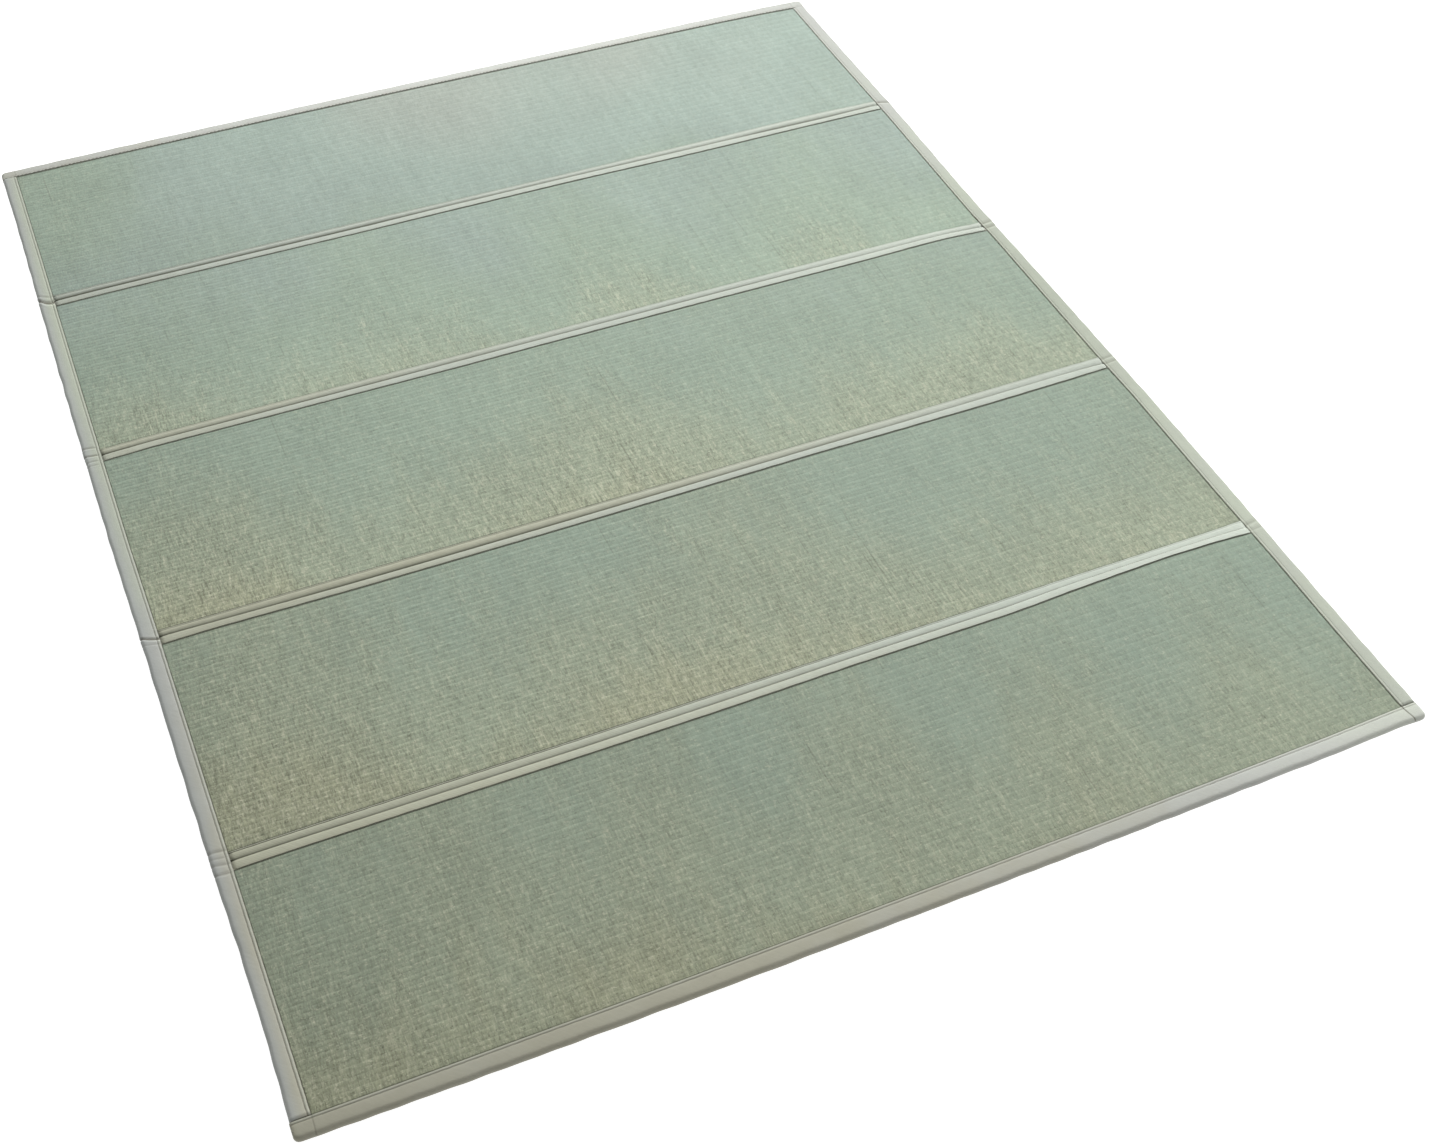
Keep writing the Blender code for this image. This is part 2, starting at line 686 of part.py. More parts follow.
def side_section(sign, rows, creases, along):
    """Section of a side binding: the outer face takes the creases and the inner one stays smooth."""
    outer_edge = column(rows, "outer", along)
    seam = column(rows, "seam", along)
    skew = crease_skew(creases, along)
    sink = crease_offset(creases, along)
    outer, inner = binding_profile()
    points = []
    for is_outer, profile in ((True, outer), (False, inner)):
        for measured_from, distance, height in profile:
            x = seam + distance if measured_from == "seam" else outer_edge - distance
            share = (x - seam) / (outer_edge - seam)
            z = height
            if is_outer and height > THICKNESS / 2:
                z = height - sink
            if is_outer and measured_from == "edge":
                x -= sink * math.sin(math.pi * height / THICKNESS)
            points.append(Vector((sign * x, along + skew * share, z)))
    return points


def add_side_binding(side, finish):
    """Cloth binding along one long side, wrapped from the top round the edge to the underside."""
    sign, rows, creases = (-1, LEFT_EDGE, LEFT_CREASES)
    if side == "right":
        sign, rows, creases = (1, RIGHT_EDGE, RIGHT_CREASES)
    corner = rows[0].outer * MM * sign
    low = -column(NEAR_EDGE, "seam", corner) + PIECE_GAP
    corner = rows[-1].outer * MM * sign
    high = column(FAR_EDGE, "seam", corner) - PIECE_GAP
    rings = []
    for along in side_stations(rows, creases, low, high):
        rings.append(side_section(sign, rows, creases, along))
    builder = bmesh.new()
    add_rings(builder, rings, close_binding_end)
    return add_object(f"side_binding_{side}", builder, finish, BINDING_SMOOTH_ANGLE)


def end_section(sign, rows, x, round_back, thickness_share):
    """Outer and inner points of an end binding's section; both ends are pinched by the corner rows."""
    outer_edge = column(rows, "outer", x) - round_back
    seam = column(rows, "seam", x)
    middle = THICKNESS / 2
    sections = []
    for profile in binding_profile():
        points = []
        for measured_from, distance, height in profile:
            y = seam + distance if measured_from == "seam" else outer_edge - distance
            z = middle + (height - middle) * thickness_share
            points.append(Vector((x, sign * y, z)))
        sections.append(points)
    return sections


def end_stations(rows, left, right):
    """X, edge rounding and thickness of an end binding's sections from left to right."""
    stations = []
    for row in CORNER_ROWS:
        stations.append((left + row.distance * MM, row))
    plain = CORNER_ROWS[-1]
    for row in rows:
        if abs(row.along) < LAST_END_ROW:
            stations.append((row.along * MM, plain))
    for row in reversed(CORNER_ROWS):
        stations.append((right - row.distance * MM, row))
    return stations


def add_end_binding(end, finish):
    """Cloth binding along one short end; its ends are sewn into pockets that close the mat's corners."""
    sign, rows = (-1, NEAR_EDGE) if end == "near" else (1, FAR_EDGE)
    row = 0 if end == "near" else -1
    left = -LEFT_EDGE[row].outer * MM
    right = RIGHT_EDGE[row].outer * MM
    builder = bmesh.new()
    previous = None
    for x, corner in end_stations(rows, left, right):
        outer, inner = end_section(sign, rows, x, corner.round_back * MM, corner.thickness_share)
        in_pocket = corner.distance >= POCKET_START
        outer_loop = [builder.verts.new(point) for point in outer]
        inner_loop = [builder.verts.new(point) for point in (inner if in_pocket else (inner[0], inner[-1]))]
        ring = outer_loop + inner_loop
        lips = outer_loop + [inner_loop[0], inner_loop[-1]]
        if previous is None:
            builder.faces.new(ring)
        elif len(previous["ring"]) == len(ring):
            bridge(builder, previous["ring"], ring, closed=True)
        else:
            bridge(builder, previous["lips"], lips, closed=True)
            pocket = inner_loop if in_pocket else previous["inner"]
            builder.faces.new(pocket)
        previous = {"ring": ring, "lips": lips, "inner": inner_loop}
    builder.faces.new(previous["ring"])
    return add_object(f"end_binding_{end}", builder, finish, BINDING_SMOOTH_ANGLE)


def build():
    clear_scene()
    rush = rush_material()
    binding = binding_material()
    tape = tape_material()
    for panel in range(PANEL_COUNT):
        add_panel(panel, rush)
    for fold in range(PANEL_COUNT - 1):
        add_fold_tape(fold, tape)
    for side in ("left", "right"):
        add_side_binding(side, binding)
    for end in ("near", "far"):
        add_end_binding(end, binding)


build()
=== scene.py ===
"""Looks of a folding rush mat: finer rush panels, fold tapes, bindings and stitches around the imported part.

+X runs along the folds, +Y across them towards the far end, +Z up; the origin is the centre of the underside.
Lengths are metres; the tables are in millimetres unless they say otherwise.
"""

import math
from collections import namedtuple

import bmesh
import bpy
import numpy as np
from mathutils import Matrix, Vector


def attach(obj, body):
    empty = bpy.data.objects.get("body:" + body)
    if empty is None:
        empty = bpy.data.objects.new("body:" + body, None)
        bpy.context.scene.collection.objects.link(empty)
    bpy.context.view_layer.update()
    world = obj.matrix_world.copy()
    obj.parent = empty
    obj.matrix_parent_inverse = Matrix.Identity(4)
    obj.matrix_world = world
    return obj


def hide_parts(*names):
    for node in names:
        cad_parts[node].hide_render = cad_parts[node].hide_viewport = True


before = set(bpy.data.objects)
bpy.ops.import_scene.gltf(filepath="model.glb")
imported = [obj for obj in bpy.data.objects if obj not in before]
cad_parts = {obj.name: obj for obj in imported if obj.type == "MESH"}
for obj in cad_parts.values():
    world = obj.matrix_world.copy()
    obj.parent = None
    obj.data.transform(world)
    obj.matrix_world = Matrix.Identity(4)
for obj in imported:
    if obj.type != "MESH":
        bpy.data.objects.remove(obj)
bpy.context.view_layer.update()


def table(row_type, *rows):
    """Rows of plain numbers as rows with named columns."""
    return tuple(row_type(*row) for row in rows)


# Driving sizes of the mat
MM = 0.001
THICKNESS = 0.012
PANEL_COUNT = 5
PANEL_PITCH = 0.420
FOLD_ROW_SHIFT = -0.002
RIB_PITCH = 0.00759
RIB_HEIGHTS = (0.00048, 0.00026)
RIB_UNEVENNESS = 0.55
RIB_SHARE_OF_PANELS = (0.55, 0.82, 1.00, 1.04, 0.68)

# Heights and clearances of the pieces
FACE_HEIGHT = 0.0107
RECESS_DEPTH = 0.0018
PANEL_RIM_RADIUS = THICKNESS / 2 - RECESS_DEPTH
PANEL_RIM_ANGLES = (90, 45, 0, -45, -90)
RIM_CLEARANCE = 0.0005
SEAM_GAP = 0.0005
PIECE_GAP = 0.0004
BINDING_THICKNESS = 0.0015
LIP_BEVEL = 0.0004
TAPE_THICKNESS = 0.0015
FLANGE_WIDTH = 0.003
FLANGE_TOP = 0.0113
CORNER_EASE_X = 0.003
CORNER_EASE_Y = 0.0015
CORNER_TAPER = 0.060
CORNER_PASSES = 3
RIB_MARGIN = 0.001

# Outer edge and inner seam of each binding, measured along the mat's other direction (millimetres)
EdgeRow = namedtuple("EdgeRow", "along outer seam")
LEFT_EDGE = table(
    EdgeRow,
    (-1052, 800.5, 774.0), (-900, 797.0, 774.0), (-750, 797.5, 774.5), (-632, 800.0, 775.0),
    (-400, 801.0, 775.5), (-212, 801.5, 776.0), (0, 803.0, 777.5), (350, 802.0, 776.5), (628, 800.0, 775.0),
    (750, 798.0, 774.0), (900, 796.5, 773.5), (1052, 797.0, 773.0),
)
RIGHT_EDGE = table(
    EdgeRow,
    (-1052, 798.5, 773.5), (-850, 799.0, 773.5), (-700, 800.0, 775.5), (-550, 802.0, 775.0),
    (-300, 803.0, 777.0), (-200, 802.0, 775.0), (0, 800.5, 774.5), (180, 798.0, 774.5), (235, 797.5, 771.5),
    (350, 797.0, 772.0), (600, 800.0, 774.0), (850, 798.0, 771.5), (1052, 797.0, 772.0),
)
NEAR_EDGE = table(
    EdgeRow,
    (-800, 1045.0, 1020.0), (-700, 1047.0, 1021.5), (-550, 1049.5, 1023.0), (-400, 1051.0, 1024.5),
    (-200, 1052.0, 1025.0), (100, 1052.0, 1025.0), (300, 1051.0, 1024.5), (500, 1049.0, 1023.0),
    (650, 1047.5, 1021.5), (755, 1044.0, 1018.5), (800, 1046.0, 1018.0),
)
FAR_EDGE = table(
    EdgeRow,
    (-800, 1042.0, 1019.0), (-700, 1044.0, 1021.5), (-550, 1047.0, 1023.5), (-400, 1049.0, 1026.0),
    (-250, 1051.0, 1028.0), (0, 1052.0, 1028.5), (600, 1052.0, 1028.5), (700, 1051.0, 1026.5),
    (800, 1048.0, 1022.0),
)

# Fold tapes from the far fold to the near one: offsets of the near edge, the groove and the far edge
# from the fold's straight line, and how deep the groove lies below the two rolls (millimetres)
FoldRow = namedtuple("FoldRow", "along near groove far depth")
FOLD_ROWS = (
    table(
        FoldRow,
        (-765, -15.0, 0.0, 11.0, 2.6), (-700, -13.0, 2.0, 12.5, 2.6), (-600, -12.0, 3.0, 13.5, 2.4),
        (-450, -11.0, 4.0, 15.0, 2.4), (-230, -10.7, 4.3, 17.0, 2.6), (-100, -9.0, 6.0, 16.0, 1.8),
        (150, -7.5, 7.0, 16.0, 1.6), (350, -10.0, 6.0, 17.0, 1.6), (450, -10.0, 6.0, 18.0, 1.5),
        (560, -9.0, 5.5, 20.0, 2.4), (660, -8.8, 4.0, 20.0, 2.2), (765, -9.0, 6.0, 16.0, 1.8),
    ),
    table(
        FoldRow,
        (-765, -12.0, 3.5, 13.0, 2.6), (-700, -9.0, 5.5, 15.0, 2.0), (-550, -9.0, 5.0, 16.0, 2.2),
        (-350, -9.5, 5.0, 16.0, 2.2), (-200, -10.0, 5.5, 16.0, 2.0), (-50, -8.5, 6.0, 16.5, 1.7),
        (250, -8.0, 7.0, 18.0, 1.8), (550, -9.0, 6.0, 17.0, 1.5), (650, -7.0, 6.0, 16.0, 1.5),
        (700, -8.0, 5.0, 14.0, 1.6), (740, -11.0, 2.0, 11.0, 2.0), (765, -13.0, 0.0, 8.5, 2.6),
    ),
    table(
        FoldRow,
        (-765, -8.0, 8.0, 17.0, 2.2), (-700, -7.0, 6.5, 16.5, 2.0), (-600, -9.0, 4.5, 17.0, 2.2),
        (-500, -10.5, 3.0, 17.0, 2.6), (-350, -11.0, 2.5, 16.5, 2.6), (-200, -11.0, 2.5, 16.0, 2.5),
        (0, -10.5, 3.0, 15.5, 2.0), (250, -9.0, 4.5, 16.0, 1.8), (400, -10.5, 4.0, 16.0, 1.6),
        (550, -11.0, 5.0, 17.0, 1.4), (700, -9.5, 6.0, 18.0, 1.3), (765, -8.0, 5.0, 18.0, 1.8),
    ),
    table(
        FoldRow,
        (-765, -12.0, 4.0, 15.0, 2.4), (-700, -11.5, 4.0, 15.0, 2.2), (-550, -12.2, 2.5, 14.5, 2.0),
        (-300, -14.0, 0.5, 13.0, 2.0), (-100, -14.3, 0.5, 13.0, 1.8), (100, -12.0, 2.0, 13.0, 1.6),
        (350, -13.0, 1.0, 13.0, 1.4), (400, -11.5, 2.5, 14.0, 1.2), (460, -8.5, 4.5, 14.5, 0.8),
        (550, -6.0, 5.0, 14.0, 0.6), (630, -4.0, 5.0, 14.0, 0.5), (720, -6.0, 4.5, 14.0, 0.6),
        (765, -9.5, 3.0, 15.0, 1.0),
    ),
)

# Creases across the side bindings: place along the mat, how much further along the crease is at the
# outer edge than at the seam and how far it bows back between, half width, depth, lift of the cloth
# beside it (millimetres), and the share of the way from the seam to the edge where it starts
CreaseRow = namedtuple("CreaseRow", "along skew bow half_width depth lift start")
LEFT_CREASES = table(
    CreaseRow,
    (-646, 2, 1, 3, 0.35, 0.05, 0.20), (-632, 4, 0, 3, 0.30, 0.05, 0.00), (-620, 3, 1, 2, 0.20, 0.05, 0.20),
    (-609, 2, 0, 3, 0.35, 0.05, 0.00), (-209, 11, 1, 3, 0.85, 0.30, 0.00),
    (-219, 6, 0, 2, 0.20, 0.05, 0.00), (190, 0, 0, 2, 0.30, 0.08, 0.40), (198, 1, -1, 2, 0.35, 0.08, 0.35),
    (212, 3, 1, 2.5, 0.60, 0.15, 0.25), (230, 4, 0, 2.5, 0.45, 0.12, 0.30),
    (623, 16, 5, 5, 0.95, 0.35, 0.00), (640, 12, 2, 3, 0.30, 0.10, 0.00),
)
RIGHT_CREASES = table(
    CreaseRow,
    (-638, 2, 0, 3, 0.20, 0.05, 0.00), (-625, 4, 0, 4, 0.25, 0.05, 0.00), (-210, 2, 0, 3, 0.35, 0.05, 0.00),
    (-198, 2, 0, 3, 0.35, 0.05, 0.00), (200, 2, 0, 4, 0.40, 0.10, 0.00), (214, 2, 0, 4, 0.40, 0.10, 0.00),
    (640, -10, 0, 4, 0.60, 0.20, 0.00),
)

# Place where the right binding's seam opens beside the second fold tape, shown by a painted shadow in the gap
RIGHT_OPENING = 0.232

# Upper side of a binding: which edge a point is measured from, how far, and its height (millimetres)
ProfileRow = namedtuple("ProfileRow", "measured_from distance height")
BINDING_TOP_ROWS = table(
    ProfileRow,
    ("seam", 0.0, 10.9), ("seam", 0.2, 11.3), ("seam", 0.7, 11.7), ("seam", 1.5, 11.9), ("seam", 2.4, 11.9),
    ("seam", 3.2, 11.65), ("seam", 3.7, 11.35), ("seam", 4.1, 11.25), ("seam", 4.5, 11.4),
    ("seam", 5.2, 11.7), ("seam", 6.4, 11.9), ("seam", 9.0, 12.0), ("seam", 12.5, 12.05),
    ("edge", 9.5, 12.05),
)
EDGE_ARC_STEPS = 12
INNER_ARC_STEPS = 6
STITCH_GROOVE = 0.0041
UNDER_LEAF_WIDTH = 0.019

# How far out across the mat a side binding's ends are measured, the height above the mat's middle over
# which a binding's unevenness sets in, and the length at an end binding's ends that stays calm
SIDE_END_X = 0.798
ABOVE_FADE = 0.003
CALM_LENGTH = 0.020

# Unevenness of the sewn cloth: how far its edges and seams wander, and how high its puckers and its
# slow waves rise
EDGE_WANDER = 0.00035
SEAM_WANDER = 0.00012
TAPE_NEAR_WANDER = 0.00025
TAPE_FAR_WANDER = 0.00020
TAPE_PUCKER = 0.00016
BINDING_PUCKER = 0.00012
BINDING_WAVE = 0.00010

# Upper side of a fold tape's two rolls: share of the way from the groove to the roll's edge, and share of
# the groove's depth below the roll's top on the near roll and on the far one
RollRow = namedtuple("RollRow", "share near_drop far_drop")
ROLL_ROWS = table(
    RollRow,
    (0.00, 1.00, 1.00), (0.03, 0.86, 0.92), (0.08, 0.56, 0.80), (0.15, 0.30, 0.62), (0.24, 0.12, 0.44),
    (0.36, 0.02, 0.26), (0.50, 0.00, 0.11), (0.65, 0.03, 0.02), (0.80, 0.12, 0.00), (0.91, 0.26, 0.07),
    (0.97, 0.42, 0.22),
)
ROLL_EDGE_HEIGHT = 0.0110

# Hidden side of a fold tape, from under a roll down the web to the under leaf: distance from the
# groove's line and height (millimetres)
WebRow = namedtuple("WebRow", "distance height")
WEB_ROWS = table(
    WebRow,
    (4.4, 10.4), (2.4, 9.9), (0.6, 8.0), (0.8, 4.0), (4.0, 1.6), (11.7, 1.5), (11.9, 0.0),
)
WEB_HALF = WEB_ROWS[2].distance * MM
UNDER_TAPE_HALF = WEB_ROWS[-1].distance * MM

# Each tape's cloth from the far fold to the near one: how light it is at its left end, left half, right
# half and right end, how cool its near and far rolls are, how dark the painted shade on the far roll's
# flank is above the groove, how dark the lines of the flange are, and how much of the groove's painted
# shade is left at the right
TapeRow = namedtuple(
    "TapeRow", "left_end left_half right_half right_end near_cool far_cool flank flange right_groove"
)
TAPE_ROWS = (
    TapeRow(0.84, 0.95, 1.00, 0.97, 0.90, 1.00, 0.75, 0.75, 0.90),
    TapeRow(0.95, 0.98, 1.02, 1.05, 0.58, 0.28, 0.35, 0.35, 0.30),
    TapeRow(0.94, 1.01, 1.03, 1.03, 0.22, -0.28, 0.45, 0.50, 0.50),
    TapeRow(1.00, 1.09, 1.16, 1.29, -0.05, 0.05, 0.15, 0.90, 0.50),
)
TAPE_SHADE_PLACES = (-0.74, -0.35, 0.30, 0.74)
TAPE_END_DROP = 0.0008
DEEPEST_GROOVE = 0.0026
GROOVE_END_LENGTH = 0.005
GROOVE_END_DROP = 0.0006
TAPE_END_LENGTH = 0.008
TAPE_REACH_OFFSETS = (-16, -8, 0, 8, 16, 24)

# Widths of the tape and binding cloth laid flat, and lengths of the side and end bindings
TAPE_CLOTH_WIDTH = 0.060
BINDING_CLOTH_WIDTH = 0.056
SIDE_CLOTH_LENGTH = 2.045
END_CLOTH_LENGTH = 1.600

# Ends of the end bindings: distance from the mat's corner, how far the edge rounds back, share of the
# thickness left (the corners are sewn shut and pinched)
CornerRow = namedtuple("CornerRow", "distance round_back thickness_share")
CORNER_ROWS = table(
    CornerRow,
    (0.0, 6.5, 0.45), (0.5, 4.9, 0.62), (1.2, 3.6, 0.78), (2.0, 2.6, 0.87), (3.0, 1.8, 0.93),
    (4.4, 1.0, 0.97), (6.0, 0.5, 1.00), (8.5, 0.1, 1.00), (11.0, 0.0, 1.00),
)
POCKET_START = 3.0

# Seams that run on from the side bindings' inner edges through the end bindings: how far outward each
# leans towards the outer edge, its depth, and how dark the painted shade in it is
CornerSeamRow = namedtuple("CornerSeamRow", "end side lean depth dark")
CORNER_SEAM_ROWS = (
    CornerSeamRow("near", "left", 1.0, 0.25, 0.40),
    CornerSeamRow("near", "right", 5.0, 0.45, 0.90),
    CornerSeamRow("far", "left", 1.0, 0.20, 0.30),
    CornerSeamRow("far", "right", 2.0, 0.20, 0.25),
)
CORNER_SEAM_SPAN = (0.764, 0.786)
CORNER_SEAM_SPACING = 0.0006
CORNER_SEAM_WIDTH = 0.0009
CORNER_SEAM_Y = 1.02

# How dark the painted shadow line along each panel's near edge is, beyond a fold tape's flange or inside
# the near binding, and how wide the painted shadow line along its far edge
NEAR_SHADOW_LINES = (0.60, 0.60, 0.75, 1.00, 0.60)
FAR_SHADOW_WIDTHS = (0.0027, 0.0019, 0.0019, 0.0020, 0.0018)
NEAR_SHADOW_WIDTH = 0.0012
SIDE_SHADOW_WIDTH = 0.0008

# How far in from its rim a rush face is pressed down by the cloth sewn over it
RIM_PRESS_REACH = 0.0022

# Fineness of the meshes
ROUND_STEP = 0.004
ROUND_REACH = 0.024
PANEL_COLUMNS = 199
SIDE_COLUMNS = (0.0, 0.4, 0.9, 1.5, 2.3, 3.6, 6.0)
RIB_SHARES = (0.0, 0.20, 0.50, 0.80)
RIB_ROUNDNESS = 1.1
MARGIN_ROW_SPACING = 0.0008
BINDING_SPACING = 0.006
CREASE_SPACING = 0.0011
CREASE_REACH = 0.012
TAPE_SPACING = 0.006
UNDER_POINTS = 4

# Each panel's rush at its corners, from the far panel to the near one: how ripe it is, from 0 blue-green
# to 1 tan and greyer below 0, where the bluer and greyer values toward the far side are partly a painted
# sheen, and how much painted light and shade it carries; the last value is added in the middle of its far
# side
PanelValues = namedtuple("PanelValues", "far_left far_right near_left near_right middle")
RIPE_AND_SHEEN_ROWS = (
    PanelValues(0.42, -0.05, 0.14, 0.06, -0.55),
    PanelValues(0.16, 0.10, 0.62, 0.44, 0.00),
    PanelValues(0.36, 0.22, 0.86, 0.66, 0.00),
    PanelValues(0.49, 0.29, 1.04, 0.72, 0.00),
    PanelValues(0.60, 0.34, 0.98, 0.66, 0.00),
)
LIGHT_SHARES = (
    PanelValues(0.98, 1.00, 0.98, 0.99, 0.06),
    PanelValues(0.99, 0.95, 1.12, 1.01, 0.03),
    PanelValues(1.01, 0.92, 1.14, 0.97, 0.02),
    PanelValues(1.01, 0.91, 1.08, 1.02, 0.00),
    PanelValues(0.98, 0.98, 1.01, 1.00, -0.04),
)

# How coarse each panel's ripe rush is, and how dark the painted shadow line along its right side is
COARSE_SHARES = (1.0, 1.45, 1.10, 0.92, 0.70)
RIGHT_SHADOW_LINES = (0.35, 0.75, 1.00, 1.00, 1.00)

# Colours (linear) and finish
# The rush's grey and, in part, its blue-green are a painted sheen; its gap colour is painted shadow where the
# face goes under the cloth
RUSH_COLOURS = {
    "grey": (0.205, 0.231, 0.200),
    "blue_green": (0.187, 0.235, 0.203),
    "green": (0.184, 0.235, 0.183),
    "olive": (0.202, 0.235, 0.169),
    "tan": (0.224, 0.235, 0.156),
    "pale": (0.420, 0.420, 0.315),
    "dark": (0.070, 0.074, 0.048),
    "gap": (0.040, 0.046, 0.028),
}
# The tape's seam colour is painted shade in its groove, on the far roll's flank, under its near edge and in
# the tuck at its left end, and the dark lines along its flange
TAPE_COLOURS = {"left": (0.326, 0.331, 0.252), "right": (0.322, 0.350, 0.306), "seam": (0.052, 0.054, 0.034)}
# The bindings' grey is partly a painted sheen; their outer colour goes with painted shade towards the outer
# edge, their ridge colour is a painted highlight and their seam colour painted shade
BINDING_COLOURS = {
    "tan": (0.292, 0.286, 0.222),
    "grey": (0.298, 0.306, 0.282),
    "green": (0.280, 0.304, 0.246),
    "outer": (0.282, 0.296, 0.286),
    "ridge": (0.330, 0.340, 0.280),
    "seam": (0.082, 0.074, 0.050),
}
BACKING_COLOUR = (0.42, 0.41, 0.36)
STEM_PITCH = 0.0013
THREAD_DARK = (0.056, 0.052, 0.034)
THREAD_PALE = (0.42, 0.42, 0.35)
FLOOR_COLOUR = (0.40, 0.40, 0.40)
FLOOR_GLOW = 0.90
WORLD_COLOUR = (1.0, 1.0, 1.0)
WORLD_STRENGTH = 0.35

# Large soft lights: one beyond the far right corner, one at the right, one beyond the far end, one above
LightRow = namedtuple("LightRow", "name place target size power")
LIGHT_COLOUR = (1.0, 1.0, 1.0)
LIGHT_ROWS = (
    LightRow("corner_light", (3.4, 3.2, 2.4), (0.2, 0.2, 0.0), (3.0, 1.8), 142.0),
    LightRow("right_light", (3.0, -0.6, 1.9), (0.2, -0.2, 0.0), (3.0, 1.6), 63.0),
    LightRow("far_light", (0.2, 3.3, 2.2), (0.0, 0.3, 0.0), (3.0, 1.6), 96.0),
    LightRow("top_light", (1.2, 1.2, 3.2), (0.2, 0.2, 0.0), (3.0, 2.0), 83.0),
)

# How much painted light and shade each binding's cloth carries and how cool it is, its cooler grey partly
# a painted sheen, in even steps from near to far or from left to right
ShadeRow = namedtuple("ShadeRow", "shade cool")
BINDING_SHADES = {
    "left": ShadeRow((1.15, 1.01, 1.05, 0.99, 0.88), (0.16, 0.24, 0.85, 0.95, 0.90)),
    "right": ShadeRow((1.11, 1.05, 0.84, 0.94, 0.89), (0.80, 0.90, 0.98, 0.75, 0.55)),
    "near": ShadeRow((0.91, 0.96, 1.01, 1.11, 1.36), (0.00, 0.05, 0.14, 0.38, 0.74)),
    "far": ShadeRow((0.88, 1.04, 1.10, 1.11, 0.95), (0.35, 0.45, 0.50, 0.50, 0.50)),
}

# How much of the outer tint and painted shade towards the outer edge the bindings show; the left one shows
# all of it
OUTWARD_SHARE = 0.25

# Noises of the rush's finish: waves a metre across and along the stems, the slice of the noise that is
# read, its detail and its roughness
NoiseRow = namedtuple("NoiseRow", "across along slice detail roughness", defaults=(0.5,))
RUSH_NOISES = {
    "mottle": NoiseRow(6.0, 6.0, 0.0, 3.0),
    "patch": NoiseRow(34.0, 8.0, 3.7, 4.0),
    "wander": NoiseRow(30.0, 9.0, 0.0, 1.0),
    "streak": NoiseRow(300.0, 22.0, 0.0, 3.0, 0.6),
    "broad_streak": NoiseRow(70.0, 5.0, 9.1, 2.0),
    "dashes": NoiseRow(85.0, 230.0, 5.3, 3.0, 0.6),
    "fleck": NoiseRow(170.0, 400.0, 2.4, 1.0),
    "strand": NoiseRow(330.0, 65.0, 6.6, 1.0),
}

# Ripeness from which each of the rush's hues starts and by which it is full; the greyer and bluer hues at
# low values are partly a painted sheen
RUSH_RAMP = (("blue_green", -0.50, -0.05), ("green", 0.00, 0.35), ("olive", 0.32, 0.68), ("tan", 0.65, 1.00))

# Stitch rows: distance of the line from its seam or fold line and its height, pitch, length and width of
# a stitch (all metres), how dark the thread is, and the seed of the stitches' small differences
StitchRow = namedtuple("StitchRow", "offset height pitch length width tone seed")
TAPE_EDGE_STITCHES = StitchRow(0.0008, 0.01150, 0.0028, 0.0018, 0.00045, 0.70, 500)
TAPE_GROOVE_STITCHES = StitchRow(0.0, THICKNESS + 0.00005, 0.0034, 0.0026, 0.00055, 0.85, 510)
FLANGE_STITCHES = StitchRow(0.0018, FLANGE_TOP + 0.0001, 0.0036, 0.0018, 0.0008, 0.15, 520)
FLANGE_STITCHED_FOLDS = (2, 3)
FLANGE_STITCHES_RIGHT = 0.10
STITCH_INSETS = {"near": 0.003, "groove": 0.004, "far": 0.003}
BINDING_STITCHES = {
    "left": StitchRow(STITCH_GROOVE, 0.01133, 0.0038, 0.0029, 0.0006, 0.75, 530),
    "right": StitchRow(0.0011, 0.01180, 0.0038, 0.0026, 0.0006, 0.60, 531),
    "near": StitchRow(STITCH_GROOVE + 0.0003, 0.01135, 0.0038, 0.0028, 0.0006, 0.60, 532),
    "far": StitchRow(0.0012, 0.01180, 0.0070, 0.0046, 0.0011, 0.90, 533),
}
BINDING_STITCH_SPANS = {
    "left": (-1.012, 1.012),
    "right": (-1.012, 1.012),
    "near": (-0.770, 0.770),
    "far": (-0.793, 0.770),
}

# Sides of a stitch's section, the places along it with how thick it is there, and points on each path
STITCH_SIDES = 5
STITCH_STATIONS = ((-0.5, 0.35), (-0.2, 1.0), (0.2, 1.0), (0.5, 0.35))
PATH_POINTS = {"left": 400, "right": 400, "near": 300, "far": 300, "fold": 300}

# Camera: lens from the photo's perspective, with its place and the directions of its back and right,
# and the floor
CAMERA_LENS = 49.63
CAMERA_SENSOR = 36.0
CAMERA_SHIFT_X = -0.0529
CAMERA_CLIP = (0.05, 100.0)
CAMERA_EYE = Vector((-0.7841, -2.2693, 2.0915))
CAMERA_BACK = Vector((-0.3035, -0.6285, 0.7161))
CAMERA_RIGHT = Vector((0.9097, -0.4146, 0.0217))
FLOOR_SIDE = 24.0
FLOOR_DROP = 0.0004

SIGNS = {"left": -1, "right": 1, "near": -1, "far": 1}
OPPOSITE = {"near": "far", "far": "near"}


def curve(rows, name):
    """A table's column as a function of the place along it, in metres, with its corners rounded off."""
    places = np.array([row.along for row in rows]) * MM
    values = np.array([getattr(row, name) for row in rows]) * MM
    steps = np.arange(places[0] - ROUND_REACH, places[-1] + ROUND_REACH, ROUND_STEP)
    half = round(ROUND_REACH / ROUND_STEP)
    window = np.hanning(2 * half + 3)[1:-1]
    straight = np.pad(np.interp(steps, places, values), half, mode="edge")
    rounded = np.convolve(straight, window / window.sum(), mode="valid")
    return lambda along: np.interp(along, steps, rounded)


EDGES = {
    name: {"outer": curve(rows, "outer"), "seam": curve(rows, "seam")}
    for name, rows in (("left", LEFT_EDGE), ("right", RIGHT_EDGE), ("near", NEAR_EDGE), ("far", FAR_EDGE))
}
FOLDS = [{name: curve(rows, name) for name in ("near", "groove", "far", "depth")} for rows in FOLD_ROWS]


